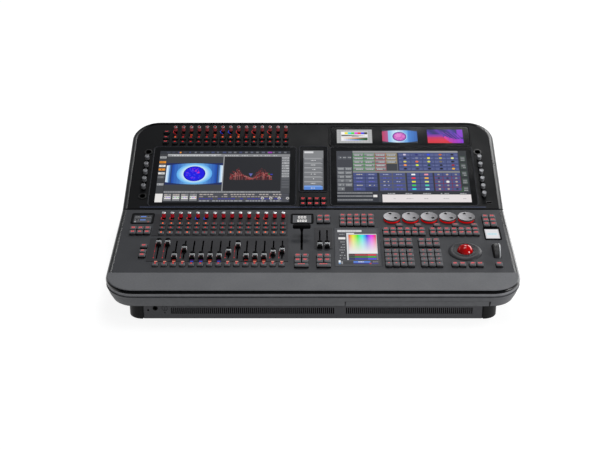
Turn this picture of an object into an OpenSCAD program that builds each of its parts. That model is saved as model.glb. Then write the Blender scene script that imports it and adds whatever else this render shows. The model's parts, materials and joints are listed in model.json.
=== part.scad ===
// Lighting control desk: a sloping control deck with faders, keys, encoder wheels, a trackball and a
// touch display, and a steeper screen pod hinged to the deck's rear edge. Millimetres.
// +X is the operator's right, +Y is towards the back and +Z is up. The origin is on the floor, under
// the middle of the footprint. Parts of the deck and of the pod are drawn in flat frames of their own,
// with X across, Y running back from the hinge gap and Z out of the panel, and then tilted into place.

/* [Overall] */
// Half width over the moulded rim
rim_x = 483.5; // [476:0.5:490]
// Depth of the deck from the hinge gap to the front lip
deck_depth = 373; // [371:1:378]
// Depth of the screen pod from the hinge gap to its rear edge
pod_depth = 336.2; // [331:0.1:340]
// Height of the hinge gap above the floor
gap_z = 133; // [128:1:136]
// Slope of the control deck in degrees
deck_tilt = 6; // [5:0.5:7]
// Slope of the screen pod in degrees, in its lowest position
pod_tilt = 20.74; // [18:0.01:22]

/* [Casing] */
// Thickness of the moulded band from the panel down to its underside
band_depth = 50; // [46:1:52]
// Height of the upright part of the moulded band
lip_height = 17; // [15:1:18]
// How far the lower part of the moulded band leans inwards
band_lean = 12; // [8:1:14]
// Corner radius of the moulded rim
rim_radius = 70; // [60:1:75]
// Width of the rim beside the panels
rim_width = 12; // [10:1:13]
// Thickness of the panels
panel_t = 3; // [2.5:0.5:4]
// Half width of the base tray
base_x = 429; // [420:1:432]
// Wall thickness of the base tray
tray_wall = 3; // [2:0.5:4]
// Height of the rubber feet
foot_h = 3; // [3:0.5:6]

/* [Faders and encoders] */
// Number of playback columns
columns = 15; // [15:1:15]
// Distance between playback columns
column_pitch = 21.35; // [21:0.05:21.5]
// Place of the first playback column
first_column_x = -373; // [-375:1:-372]
// Travel of a playback fader
fader_travel = 60; // [60:1:60]
// Level at which each playback fader rests, from 0 to 1
fader_levels = [1, 1, 0, 0.54, 0, 0, 0, 0, 0.33, 0.83, 0, 0, 0, 0.26, 0.41];
// Place of a playback fader at level 0
fader_low_s = -229; // [-230:1:-228]
// Diameter of an encoder knob
encoder_d = 10; // [9:0.5:12]
// Height of an encoder knob above the panel
encoder_h = 18; // [14:1:20]

/* [Keys] */
// Width of a key cap
key_w = 16.2; // [15:0.1:16.6]
// Height of the programmer keys above the panel
key_h = 7; // [6:0.5:8.5]
// Height of the playback keys above the panel
playback_key_h = 5; // [5:0.5:7]
// Distance between key columns in a block
key_pitch = 17.65; // [17.4:0.05:18]

/* [Wheels and trackball] */
// Diameter of an encoder wheel
wheel_d = 42.2; // [40:1:44]
// Distance between encoder wheels
wheel_pitch = 46.5; // [46:0.5:47]
// Diameter of the trackball
ball_d = 38.1; // [38.1:0.1:38.1]
// Diameter of the trackball ring
ball_ring_d = 81; // [78:1:82]
// Diameter of the scroll wheel
scroll_d = 56; // [54:1:58]

/* [Screens] */
// Width of a main screen's glass
screen_w = 373; // [372:1:376]
// Depth of a main screen's glass
screen_d = 221; // [218:1:222]
// Distance from the middle of the desk to the middle of a main screen
screen_x = 233; // [232:1:234]

/* [Hidden] */
$fn = 64;
fine = 0.5;
reach = 1000;

// The footprint is centred on the origin, from the front lip to the pod's rim.
front_reach = deck_depth * cos(deck_tilt);
rear_reach = pod_depth * cos(pod_tilt) + lip_height * sin(pod_tilt);
gap_y = (front_reach - rear_reach) / 2;
hinge_gap = 2.5;

// Hinge axis, in the pod's frame.
hinge_s = 8;
hinge_n = -9.5;
hinge_pin_r = 2.5;
hinge_barrel_r = 5;
hinge_play = 0.06;
hinge_half = 20;
hinge_places = [-300, -100, 100, 300];

// Clearances: around a key bank, around a single control and under the moving pod.
key_play = 0.5;
hole_play = 0.3;
pod_play = 0.6;

// Panels
panel_x = rim_x - rim_width;
palm_back = -293.5;
palm_t = 3;
inlay_t = 1;

// Control board under the deck panel
board_top = -22.4;
board_t = 1.6;
track_top = -13;
stem_low = -17;
key_low = -7;

fader_slot_w = 3.6;
fader_slot = [-235.5, -153.5];
fader_cap = [12.4, 24, 9];
fader_cap_low = 2.5;
aux_slot = [-187, -104];
aux_x = [16.6, 34.4];
aux_low_s = -179;
master_x = -27.4;
master_top_s = -128;
master_slot = [-194, -119];
master_slot_w = 5.6;
knob_s = -46;
inlay_row_s = [-77, -97, -120];
playback_key = [14.4, 12.4];
flash_s = -263;
flash_key = [14.2, 13.4];

wheel_first_x = 197.3;
wheel_s = -50;
wheel_low = 4.5;
wheel_top = 9;
light_ring_h = 3.8;
light_ring_d = wheel_d - 2;
wheel_shaft_r = 3;
ball_x = 365;
ball_s = -203;
ball_r = ball_d / 2;
ball_neck_r = 31;
scroll_x = 440;
scroll_s = -202.5;
scroll_n = -9;
scroll_w = 16;
scroll_r = scroll_d / 2;

// Key banks: [x of the first column, s of the rear row, columns, rows, row pitch, key depth]
left_function = [-443, -100, 3, 2, 18.6, 16.6];
left_select = [-408, -182.4, 1, 1, 18, 15];
left_page = [-408, -206.8, 1, 2, 17.4, 15.6];
master_bank = [-36.2, -228.4, 2, 2, 20.6, 19.2];
aux_bank = [16.5, -228.4, 2, 2, 20.6, 19.2];
head_bank = [17.2, -44.4, 2, 2, 18.8, 17.4];
executor_bank = [73.9, -39.8, 5, 3, 18.8, 17.4];
record_bank = [179.5, -105.8, 6, 2, 17.6, 16.2];
attribute_bank = [294.3, -105.8, 7, 2, 17.6, 16.2];
view_bank = [430.4, -43.6, 2, 3, 18.6, 17.2];
ball_bank_left = [335.4, -264, 2, 1, 18, 16.4];
ball_bank_right = [376.6, -264, 2, 1, 18, 16.4];
scroll_bank = [439.4, -264, 1, 1, 18, 16.4];
tool_bank = [179.5, -157.1, 4, 2, 18.6, 17.2];
edit_bank = [263.2, -157.1, 3, 2, 18.6, 17.2];
number_bank = [179.3, -206.6, 4, 4, 19, 17.6];
enter_bank = [263.5, -206.6, 3, 4, 19, 17.6];
pod_select = [-393.5, 292.4, 1, 1, 18, 12.4];
pod_page = [-393.5, 270.4, 1, 2, 17.4, 13];
pod_menu = [-25.8, 34.8, 4, 2, 17.4, 16];
playback_banks = [left_function, left_select, left_page];
programmer_banks = [
    master_bank, aux_bank, head_bank, executor_bank, record_bank, attribute_bank, view_bank,
    ball_bank_left, ball_bank_right, scroll_bank
];
numeric_banks = [tool_bank, edit_bank, number_bank, enter_bank];
pod_banks = [pod_select, pod_page, pod_menu];
wide_key_x = [-27.3, 25.3];
wide_key = [33.8, 14.6];
wide_key_s = -268.2;
small_key_s = -84.6;
small_key_dx = key_pitch - 1.7;
small_key = [16.2, 13.6];

// Displays: [low x, low s, high x, high s]
status_frames = [[-452.5, -69, -400, -24.5], [-53.6, -69, -0.8, -26.5], [421.7, -146, 459.2, -92]];
touch_frame = [54, -266.3, 162, -92];
encoder_inlay = [-396, -130, -62, -25.5];
fader_inlay = [-396.4, -246.6, -59.5, -142.6];
aux_inlay = [3.7, -190.5, 47, -92];
centre_glass = [-35, 65, 36, 235];
preview_glass = [47, 239.5, 419, 315.7];
preview_w = 104;
preview_gap = 121;
display_t = 9;

// Controls on the pod
pod_knob_x = -369;
pod_knob_pitch = 21.15;
pod_knob_s = 296;
pod_row_s = [268, 250];
pod_key = [14.4, 12.4];
side_knob_x = [-435.7, 437.3];
side_knob_count = [5, 6];
side_knob_s = 182.9;
side_knob_pitch = 27.4;
side_knob_r = 6;
side_knob_h = 16;
socket_bore_r = 7.6;
socket_depth = 12;
socket_places = [[-436, 214], [436, 214], [-437, 47]];
port_place = [449, 24];

// Base
tray_front = gap_y - 333;
tray_back = gap_y + 291;
tray_r = 30;
corner_t = 3;
vent_panel_x = 395;
vent_panel_top = 46;
vent_pitch = 4.72;
vent_slot = [2.8, 16.6];
vents = [[-331, 81], [77, 63]];
vent_z = 16;
phones_x = -368;
phones_z = 31;
phones_r = 3.3;
lock_x = -346;
lock_r = 7.2;
foot_inset = 60;

// Keyboard drawer, in the deck's frame
drawer_x = [76, 407];
drawer_top = -33;
drawer_back = -215;
drawer_play = 1.5;

// ---- helpers ----

module on_deck() {
    translate([0, gap_y, gap_z]) rotate([deck_tilt, 0, 0]) children();
}

module on_pod() {
    translate([0, gap_y, gap_z]) rotate([pod_tilt, 0, 0]) children();
}

// Box between two corners.
module block(low, high) {
    translate(low) cube(high - low);
}

// Box centred on (x, s), between two heights.
module post(x, s, size, low, high) {
    translate([x - size[0] / 2, s - size[1] / 2, low]) cube([size[0], size[1], high - low]);
}

// Box over a frame given as [low x, low s, high x, high s], grown by play on every side.
module slab(frame, low, high, play = 0) {
    block([frame[0] - play, frame[1] - play, low], [frame[2] + play, frame[3] + play, high]);
}

function arc(x, s, r, from, to, steps = 10) =
    [for (i = [0:steps]) let (a = from + (to - from) * i / steps) [x + r * cos(a), s + r * sin(a)]];

// Outline with rounded front corners.
function deck_outline(x, front, back, r) = concat(
    [[x, back], [-x, back]], arc(-x + r, front + r, r, 180, 270), arc(x - r, front + r, r, 270, 360));

// Outline with rounded rear corners.
function pod_outline(x, front, back, r) = concat(
    [[-x, front], [x, front]], arc(x - r, back - r, r, 0, 90), arc(-x + r, back - r, r, 90, 180));

// Outline with four rounded corners.
function full_outline(x, front, back, r) = concat(
    arc(x - r, back - r, r, 0, 90), arc(-x + r, back - r, r, 90, 180),
    arc(-x + r, front + r, r, 180, 270), arc(x - r, front + r, r, 270, 360));

module plate(outline, low, high) {
    translate([0, 0, low]) linear_extrude(height = high - low) polygon(outline);
}

function column_x(i) = first_column_x + column_pitch * i;
function pod_column_x(i) = pod_knob_x + pod_knob_pitch * i;
function wheel_x(i) = wheel_first_x + wheel_pitch * i;

// Frame that surrounds a key bank.
function bank_frame(b) = [
    b[0] - key_w / 2, b[1] - (b[3] - 1) * b[4] - b[5] / 2,
    b[0] + (b[2] - 1) * key_pitch + key_w / 2, b[1] + b[5] / 2];

module bank_keys(b, top) {
    for (i = [0:b[2] - 1], j = [0:b[3] - 1])
        post(b[0] + i * key_pitch, b[1] - j * b[4], [key_w, b[5]], key_low, top);
}

module bank_hole(b) {
    slab(bank_frame(b), -panel_t - fine, fine, key_play);
}

// ---- base ----

// Everything above the underside of the deck's moulded band.
module above_band(drop = 0) {
    on_deck() block([-reach, -reach, -band_depth - drop], [reach, reach, reach]);
}

module base_tray() color("dimgray") {
    difference() {
        plate(full_outline(base_x, tray_front, tray_back, tray_r), foot_h, 200);
        difference() {
            plate(full_outline(base_x - tray_wall, tray_front + tray_wall, tray_back - tray_wall,
                tray_r - tray_wall), foot_h + tray_wall, 201);
            on_deck() block([-reach, 6, -band_depth - 2.6], [reach, reach, reach]);
        }
        above_band(0.2);
        // Opening behind the front vent panel
        block([-vent_panel_x + 7, tray_front - 1, 9], [vent_panel_x - 7, tray_front + 4, 38]);
        for (p = connector_places)
            block([p[0] - p[2] / 2, tray_back - 5, connector_z - p[3] / 2],
                [p[0] + p[2] / 2, tray_back + 1, connector_z + p[3] / 2]);
        // Grilles behind the cooling fans
        for (x = fan_x, i = [-5:5])
            block([x + i * 7 - 2, tray_back - 5, fan_z - 36], [x + i * 7 + 2, tray_back + 1, fan_z + 36]);
        for (p = screw_places) translate([p[0], p[1], foot_h - 1]) cylinder(r = screw_hole_r, h = 5);
    }
}

fan_x = [-300, 300];
fan_z = 50;
screw_r = 2;
screw_hole_r = 2.2;
screw_places = [for (x = [-350, -130, 130, 350], y = [-250, 250]) [x, y]];
connector_z = 62;
// Rear connectors: [x, kind of flange, opening width, opening height]
connector_places = [
    for (i = [0:3]) [-200 + i * 34, 0, 24, 24],
    for (i = [0:2]) [-50 + i * 34, 0, 24, 24],
    for (i = [0:1]) [60 + i * 40, 1, 30, 12],
    for (i = [0:1]) [140 + i * 26, 2, 15, 14],
    [225, 3, 46, 27]
];

module front_vent_panel() color([0.27, 0.27, 0.29]) {
    difference() {
        block([-vent_panel_x, tray_front - 3, foot_h + 1], [vent_panel_x, tray_front, vent_panel_top]);
        for (v = vents, i = [0:v[1] - 1])
            block([v[0] + i * vent_pitch, tray_front - 4, vent_z],
                [v[0] + i * vent_pitch + vent_slot[0], tray_front + 1, vent_z + vent_slot[1]]);
        // Headphone socket with its indicator hole, then the key lock with a reset hole under it
        translate([phones_x, tray_front + 1, phones_z]) rotate([90, 0, 0]) cylinder(r = phones_r, h = 5);
        translate([-385, tray_front + 1, phones_z - 5]) rotate([90, 0, 0]) cylinder(r = 2.6, h = 5);
        translate([lock_x, tray_front - 1.8, phones_z]) rotate([90, 0, 0]) difference() {
            cylinder(r = lock_r, h = 2);
            translate([0, 0, -1]) cylinder(r = lock_r - 1.6, h = 4);
        }
        block([lock_x - 0.7, tray_front - 4, phones_z - 3.5],
            [lock_x + 0.7, tray_front - 1.5, phones_z + 3.5]);
        translate([lock_x, tray_front + 1, phones_z - 12]) rotate([90, 0, 0]) cylinder(r = 1.7, h = 5);
    }
}

module base_corners() color([0.06, 0.06, 0.07]) {
    inner = full_outline(base_x, tray_front, tray_back, tray_r);
    difference() {
        plate(full_outline(base_x + corner_t, tray_front - corner_t, tray_back + corner_t,
            tray_r + corner_t), foot_h, 200);
        plate(inner, 0, 201);
        above_band(1);
        block([-base_x + 31, -reach, 0], [base_x - 31, reach, 200]);
        block([-reach, tray_front + 60, 0], [reach, tray_back - 60, 200]);
    }
}

module rubber_feet() color([0.04, 0.04, 0.04]) {
    for (x = [-390, 0, 390], y = [tray_front + foot_inset, tray_back - foot_inset])
        translate([x, y, 0]) cylinder(r = 14, h = foot_h);
}

module screws() color([0.2, 0.2, 0.21]) {
    for (p = screw_places) {
        translate([p[0], p[1], foot_h - 1.6]) cylinder(r = 3.8, h = 1.6);
        translate([p[0], p[1], foot_h - 0.8]) cylinder(r = screw_r, h = 9);
    }
}

module rear_connectors() color([0.1, 0.1, 0.11]) {
    for (p = connector_places) translate([p[0], tray_back, connector_z]) {
        difference() {
            union() {
                block([-p[2] / 2 - 4, 0, -p[3] / 2 - 4], [p[2] / 2 + 4, 2.5, p[3] / 2 + 4]);
                block([-p[2] / 2 + 0.5, -26, -p[3] / 2 + 0.5], [p[2] / 2 - 0.5, 0, p[3] / 2 - 0.5]);
            }
            block([-p[2] / 2 + 3, -14, -p[3] / 2 + 3], [p[2] / 2 - 3, 3, p[3] / 2 - 3]);
        }
    }
}

module cooling_fans() color([0.12, 0.12, 0.13]) {
    for (x = fan_x) translate([x, tray_back - tray_wall, fan_z]) {
        difference() {
            block([-40, -25, -40], [40, 0, 40]);
            translate([0, 1, 0]) rotate([90, 0, 0]) cylinder(r = 37, h = 27);
        }
        translate([0, -2, 0]) rotate([90, 0, 0]) cylinder(r = 17, h = 20);
        for (a = [0:60:300]) rotate([0, a, 0]) block([12, -19, -1.2], [36.5, -5, 1.2]);
        for (a = [30:90:300]) rotate([0, a, 0]) block([12, -24, -2], [38, -20.5, 2]);
        translate([0, -20, 0]) rotate([90, 0, 0]) cylinder(r = 13, h = 4);
    }
}

module power_supply() color([0.55, 0.56, 0.57]) {
    block([180, 120, foot_h + tray_wall], [330, 250, 52]);
}

module main_board() color([0.05, 0.25, 0.13]) {
    block([-180, -40, 14], [90, 190, 15.6]);
    block([-120, 20, 15.6], [-50, 90, 40]);
    for (x = [-170, 80], y = [-30, 180]) translate([x, y, foot_h + tray_wall]) cylinder(r = 4, h = 9);
    for (i = [0:3]) block([-20 + i * 14, 20, 15.6], [-14 + i * 14, 150, 44]);
}

// ---- deck ----

module deck_bumper() color([0.12, 0.12, 0.13]) {
    lip = -lip_height;
    bottom = -band_depth;
    shelf = -14;
    on_deck() difference() {
        union() {
            plate(deck_outline(rim_x, -deck_depth, -hinge_gap, rim_radius), lip, 0);
            hull() {
                plate(deck_outline(rim_x, -deck_depth, -hinge_gap, rim_radius), lip - 0.5, lip);
                plate(deck_outline(rim_x - band_lean, -deck_depth + band_lean, -hinge_gap,
                    rim_radius - band_lean), bottom, bottom + 0.5);
            }
        }
        // Seats of the deck panel and of the palm rest
        block([-panel_x - 0.2, palm_back, -panel_t], [panel_x + 0.2, 1, 1]);
        plate(deck_outline(rim_x - 2, -deck_depth + 2, palm_back + 0.2, rim_radius - 2), -palm_t, 1);
        // Space under the deck panel and under the palm rest's shelf
        block([-panel_x + 8, palm_back + 8, bottom + 4], [panel_x - 8, 1, 1]);
        block([-panel_x + 14, -deck_depth + 24, bottom + 4], [panel_x - 14, palm_back + 9, shelf]);
        block([-base_x + 4, tray_front - gap_y + 6, bottom - 1], [base_x - 4, 1, bottom + 5]);
        // Opening of the keyboard drawer
        block([drawer_x[0] - drawer_play, -reach, bottom - 1],
            [drawer_x[1] + drawer_play, drawer_back, drawer_top + 0.6]);
    }
}

module palm_rest() color([0.36, 0.36, 0.38]) {
    on_deck() plate(deck_outline(rim_x - 2.5, -deck_depth + 2.5, palm_back, rim_radius - 2.5), -palm_t, 1);
}

module deck_panel() color([0.29, 0.29, 0.31]) {
    back = -hinge_gap;
    low = -panel_t - fine;
    on_deck() difference() {
        union() {
            block([-panel_x, palm_back + 0.3, -panel_t], [panel_x, back, 0]);
            block([-panel_x + 9, back - 3.5, -band_depth + 5], [panel_x - 9, back, -panel_t]);
        }
        for (b = concat(playback_banks, programmer_banks, numeric_banks)) bank_hole(b);
        for (x = wide_key_x) post(x, wide_key_s, wide_key + [1, 1], low, fine);
        for (f = status_frames) slab(f, low, fine, hole_play);
        slab(touch_frame, low, fine, hole_play);
        // Encoder row, three key rows and the fader field, under their inlays
        block([-386, knob_s - 8, low], [-66, knob_s + 8, fine]);
        for (s = inlay_row_s) block([-386, s - 8, low], [-66, s + 8, fine]);
        block([-386, fader_slot[0], low], [-66, fader_slot[1], fine]);
        block([9, aux_slot[0], low], [42, aux_slot[1], fine]);
        for (i = [0:columns - 1]) post(column_x(i), flash_s, flash_key + [1, 1], low, fine);
        block([master_x - master_slot_w / 2, master_slot[0], low],
            [master_x + master_slot_w / 2, master_slot[1], fine]);
        for (i = [0:4]) {
            post(wheel_x(i), wheel_s, [9, 9], low, fine);
            post(wheel_x(i) + small_key_dx, small_key_s, small_key + [1, 1], low, fine);
        }
        translate([ball_x, ball_s, low]) rotate(22.5) cylinder(r = 34.5, h = panel_t + 1, $fn = 8);
        post(scroll_x, scroll_s, [scroll_w + 2.5, scroll_d + 1.5], low, fine);
        for (x = hinge_places) block([x - 37, back - 5, -22], [x + 37, back + 1, -panel_t]);
    }
}

module control_inlays() color([0.16, 0.16, 0.17]) {
    on_deck() {
        difference() {
            slab(encoder_inlay, 0, inlay_t);
            for (i = [0:columns - 1]) {
                post(column_x(i), knob_s, [7.4, 7.4], -fine, inlay_t + fine);
                for (s = inlay_row_s) post(column_x(i), s, playback_key + [1, 1], -fine, inlay_t + fine);
            }
        }
        difference() {
            slab(fader_inlay, 0, inlay_t);
            for (i = [0:columns - 1])
                block([column_x(i) - fader_slot_w / 2, fader_slot[0], -fine],
                    [column_x(i) + fader_slot_w / 2, fader_slot[1], inlay_t + fine]);
        }
        difference() {
            slab(aux_inlay, 0, inlay_t);
            for (x = aux_x)
                block([x - fader_slot_w / 2, aux_slot[0], -fine],
                    [x + fader_slot_w / 2, aux_slot[1], inlay_t + fine]);
        }
    }
}

module touch_display() color([0.05, 0.05, 0.06]) {
    on_deck() slab(touch_frame, -display_t, 0.6);
}

module status_displays() color([0.05, 0.05, 0.06]) {
    on_deck() for (f = status_frames) slab(f, -display_t, 1);
}

module wheel_light_rings() color([0.8, 0.02, 0.02]) {
    on_deck() for (i = [0:4]) translate([wheel_x(i), wheel_s, 0]) difference() {
        cylinder(d = light_ring_d, h = light_ring_h);
        translate([0, 0, -1]) cylinder(r = 8, h = 6);
    }
}

// Channel that guides a fader's stem, standing on the control board.
module fader_track(x, slot, width) {
    difference() {
        block([x - width / 2, slot[0] - 4, board_top], [x + width / 2, slot[1] + 4, track_top]);
        block([x - width / 2 + 3, slot[0] - 1, board_top + 2],
            [x + width / 2 - 3, slot[1] + 1, track_top + 1]);
    }
}

module control_board() color([0.05, 0.22, 0.12]) {
    on_deck() {
        difference() {
            union() {
                block([-452, -284, board_top - board_t], [452, -20, board_top]);
                for (i = [0:columns - 1]) fader_track(column_x(i), fader_slot, 10);
                for (x = aux_x) fader_track(x, aux_slot, 10);
                fader_track(master_x, master_slot, 14);
            }
            block([scroll_x - 18, scroll_s - scroll_r - 3, board_top - 3],
                [scroll_x + 18, scroll_s + scroll_r + 3, board_top + 1]);
        }
        // Cup under the trackball
        translate([ball_x, ball_s, 0]) difference() {
            translate([0, 0, board_top]) cylinder(r = 25, h = -6 - board_top);
            sphere(r = ball_r + 0.25);
        }
        // Brackets that hold the scroll wheel's axle
        for (side = [-1, 1]) difference() {
            post(scroll_x + side * 13.5, scroll_s, [4, 16], -20, -panel_t);
            translate([scroll_x + side * 13.5 - 3, scroll_s, scroll_n])
                rotate([0, 90, 0]) cylinder(r = 3.05, h = 6);
        }
    }
}

module hinge_brackets() color([0.6, 0.61, 0.62]) {
    // Hinge axis, in the deck's frame
    fold = pod_tilt - deck_tilt;
    s = hinge_s * cos(fold) - hinge_n * sin(fold);
    n = hinge_s * sin(fold) + hinge_n * cos(fold);
    on_deck() for (x = hinge_places) {
        for (side = [-1, 1]) {
            lug = x + side * (hinge_half + 5.2);
            block([lug - 4.5, s - 4, n - 4], [lug + 4.5, s + 4, n + 4]);
            block([lug - 4.5, -9, n - 4], [lug + 4.5, s, n]);
        }
        translate([x - hinge_half - 4, s, n])
            rotate([0, 90, 0]) cylinder(r = hinge_pin_r, h = 2 * hinge_half + 8);
        block([x - 42, -9, -26], [x + 42, -6.05, n]);
    }
}

// ---- screen pod ----

// Solid between the pod's rim and the underside that lies just above the deck's underside plane.
module pod_body(inset, top, raise) {
    x = rim_x - inset;
    front = hinge_gap + (inset > 0 ? 10 : 0);
    hull() {
        on_pod() plate(pod_outline(x, front, pod_depth - inset, rim_radius - inset), top - 0.5, top);
        on_deck() plate(pod_outline(x - band_lean, front + 3, 300 - inset, rim_radius - band_lean - inset),
            -band_depth + pod_play + raise, -band_depth + pod_play + raise + 0.5);
    }
}

module pod_shell() color([0.14, 0.14, 0.15]) {
    difference() {
        union() {
            difference() {
                pod_body(0, -lip_height, 0);
                pod_body(6, -lip_height + 4, 4);
            }
            on_pod() for (x = hinge_places) {
                block([x - hinge_half, 4.5, -lip_height - 4], [x + hinge_half, hinge_s + 4.5, hinge_n]);
                translate([x - hinge_half, hinge_s, hinge_n])
                    rotate([0, 90, 0]) cylinder(r = hinge_barrel_r, h = 2 * hinge_half);
            }
        }
        on_pod() for (x = hinge_places) translate([x - hinge_half - 1, hinge_s, hinge_n])
            rotate([0, 90, 0]) cylinder(r = hinge_pin_r + hinge_play, h = 2 * hinge_half + 2);
        // Louvres in the rear wall
        for (side = [-1, 1], i = [0:3])
            block([side * 210 - 90, 250, 150 + i * 11], [side * 210 + 90, reach, 155 + i * 11]);
    }
}

module pod_bumper() color([0.1, 0.1, 0.11]) {
    on_pod() difference() {
        plate(pod_outline(rim_x, hinge_gap, pod_depth, rim_radius), -lip_height, 0);
        plate(pod_outline(panel_x + 0.2, hinge_gap - 2, pod_depth - rim_width + 0.2,
            rim_radius - rim_width + 0.2), -lip_height - 1, 1);
    }
}

module pod_panel() color([0.13, 0.13, 0.14]) {
    low = -panel_t - fine;
    back = pod_depth - rim_width;
    corner = rim_radius - rim_width;
    on_pod() difference() {
        union() {
            plate(pod_outline(panel_x, hinge_gap, back, corner), -panel_t, 0);
            difference() {
                plate(pod_outline(panel_x, 20, back, corner), -lip_height, -panel_t);
                plate(pod_outline(panel_x - 5, 10, back - 5, corner - 5), -lip_height - 1, 0);
            }
        }
        for (side = [-1, 1]) post(side * screen_x, 123.5, [screen_w + 0.6, screen_d + 0.6], low, fine);
        slab(centre_glass, low, fine, hole_play);
        slab(preview_glass, low, fine, hole_play);
        for (b = pod_banks) bank_hole(b);
        for (i = [0:columns - 1]) {
            post(pod_column_x(i), pod_knob_s, [7.4, 7.4], low, fine);
            for (s = pod_row_s) post(pod_column_x(i), s, pod_key + [1, 1], low, fine);
        }
        for (k = [0, 1], i = [0:side_knob_count[k] - 1])
            post(side_knob_x[k], side_knob_s - i * side_knob_pitch, [7.4, 7.4], low, fine);
        for (p = socket_places) post(p[0], p[1], [18, 18], low, fine);
        post(port_place[0], port_place[1], [15, 8], low, fine);
        // Sound holes beside the centre screen
        for (x = [-42.5, -38.3, 39.4, 43.6], i = [0:6])
            translate([x, 91 + i * 17.2, low]) cylinder(r = 1.1, h = panel_t + 1, $fn = 8);
    }
}

module main_screens() color([0.04, 0.04, 0.05]) {
    on_pod() for (side = [-1, 1]) {
        post(side * screen_x, 123.5, [screen_w, screen_d], -panel_t, 0.5);
        post(side * screen_x, 123.5, [screen_w - 12, screen_d - 12], -display_t - 5, -panel_t);
    }
}

module centre_screen() color([0.04, 0.04, 0.05]) {
    on_pod() slab(centre_glass, -display_t, 0.5);
}

module preview_screens() color([0.04, 0.04, 0.05]) {
    middle = (preview_glass[0] + preview_glass[2]) / 2;
    on_pod() {
        slab(preview_glass, -panel_t, 0.5);
        for (i = [-1:1]) post(middle + i * preview_gap, 277.5, [preview_w, 66], -display_t, -panel_t);
    }
}

module lamp_sockets() color([0.05, 0.05, 0.05]) {
    on_pod() {
        for (p = socket_places) translate([p[0], p[1], 0]) difference() {
            union() {
                cylinder(r = 10.5, h = 1.5);
                translate([0, 0, -socket_depth - 2]) cylinder(r = 8.9, h = socket_depth + 2);
            }
            translate([0, 0, 1.5 - socket_depth]) cylinder(r = socket_bore_r, h = socket_depth + 1);
        }
        difference() {
            post(port_place[0], port_place[1], [14.6, 7.6], -12, 0.6);
            post(port_place[0], port_place[1], [12, 5], -9, 1);
        }
    }
}

// ---- moving controls ----

module fader(x, s, level_travel = 0) {
    cap_top = fader_cap_low + fader_cap[2];
    half = fader_cap[1] / 2;
    on_deck() translate([x, s + level_travel, 0]) {
        post(0, 0, [2.4, 7], stem_low, fader_cap_low);
        translate([-fader_cap[0] / 2, 0, 0]) rotate([90, 0, 90]) linear_extrude(height = fader_cap[0])
            polygon([[-half, fader_cap_low], [half, fader_cap_low], [half, cap_top - 1.5],
                [half - 2.5, cap_top], [3, cap_top - 1], [-3, cap_top - 1], [-half + 3, cap_top - 2.5],
                [-half, cap_top - 5]]);
    }
}

module playback_fader(i) color([0.08, 0.08, 0.08]) {
    fader(column_x(i), fader_low_s, fader_levels[i] * fader_travel);
}

module aux_fader(i) color([0.08, 0.08, 0.08]) {
    fader(aux_x[i], aux_low_s);
}

module master_fader() color([0.03, 0.03, 0.03]) {
    on_deck() {
        post(master_x, master_top_s, [4.6, 8], stem_low, 25);
        post(master_x, master_top_s, [44, 11], 25, 30.5);
    }
}

module encoder_wheel(i) color([0.75, 0.76, 0.77]) {
    on_deck() translate([wheel_x(i), wheel_s, 0]) difference() {
        union() {
            translate([0, 0, wheel_low]) cylinder(d = wheel_d, h = wheel_top - wheel_low);
            translate([0, 0, -11]) cylinder(r = wheel_shaft_r, h = wheel_low + 12);
        }
        for (p = [[-4.3, 13, 4], [8.5, -8, 4.3]])
            translate([p[0], p[1], wheel_top - 3]) cylinder(r = p[2], h = 4);
    }
}

// Push encoder: a knob on a shaft.
module encoder(x, s, r, low, top) {
    translate([x, s, low]) cylinder(r = r, h = top - low);
    translate([x, s, stem_low + 6]) cylinder(r = 3, h = low - stem_low - 5);
}

module deck_encoders() color([0.7, 0.7, 0.72]) {
    on_deck() for (i = [0:columns - 1]) encoder(column_x(i), knob_s, encoder_d / 2, 2.5, encoder_h);
}

module pod_encoders() color([0.7, 0.7, 0.72]) {
    on_pod() for (i = [0:columns - 1])
        encoder(pod_column_x(i), pod_knob_s, encoder_d / 2, 1.6, encoder_h);
}

module side_knobs() color([0.75, 0.75, 0.77]) {
    on_pod() for (k = [0, 1], i = [0:side_knob_count[k] - 1])
        encoder(side_knob_x[k], side_knob_s - i * side_knob_pitch, side_knob_r, 1.6, side_knob_h);
}

module playback_keys() color([0.3, 0.3, 0.32]) {
    on_deck() {
        for (i = [0:columns - 1]) {
            for (s = inlay_row_s) post(column_x(i), s, playback_key, key_low, playback_key_h);
            post(column_x(i), flash_s, flash_key, key_low, playback_key_h);
        }
        for (b = playback_banks) bank_keys(b, key_h);
    }
}

module programmer_keys() color([0.3, 0.3, 0.32]) {
    on_deck() {
        for (b = programmer_banks) bank_keys(b, key_h);
        for (x = wide_key_x) post(x, wide_key_s, wide_key, key_low, key_h);
        for (i = [0:4]) post(wheel_x(i) + small_key_dx, small_key_s, small_key, key_low, key_h);
    }
}

module numeric_keys() color([0.3, 0.3, 0.32]) {
    on_deck() for (b = numeric_banks) bank_keys(b, key_h);
}

module pod_keys() color([0.22, 0.22, 0.24]) {
    on_pod() {
        for (i = [0:columns - 1], s = pod_row_s)
            post(pod_column_x(i), s, pod_key, key_low, playback_key_h);
        for (b = pod_banks) bank_keys(b, playback_key_h);
    }
}

module trackball_ring() color([0.2, 0.2, 0.21]) {
    edge = ball_ring_d / 2;
    on_deck() translate([ball_x, ball_s, 0]) rotate_extrude()
        polygon([[ball_r + 0.35, -4], [ball_neck_r, -4], [ball_neck_r, 0.5], [edge, 0.5], [edge, 3.2],
            [edge - 2, 5.4], [edge - 5, 5.6], [29, 3.8], [23, 3.6], [ball_r + 1.5, 4.6],
            [ball_r + 0.35, 4]]);
}

module trackball() color([0.7, 0, 0]) {
    on_deck() translate([ball_x, ball_s, 0]) sphere(r = ball_r);
}

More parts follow.
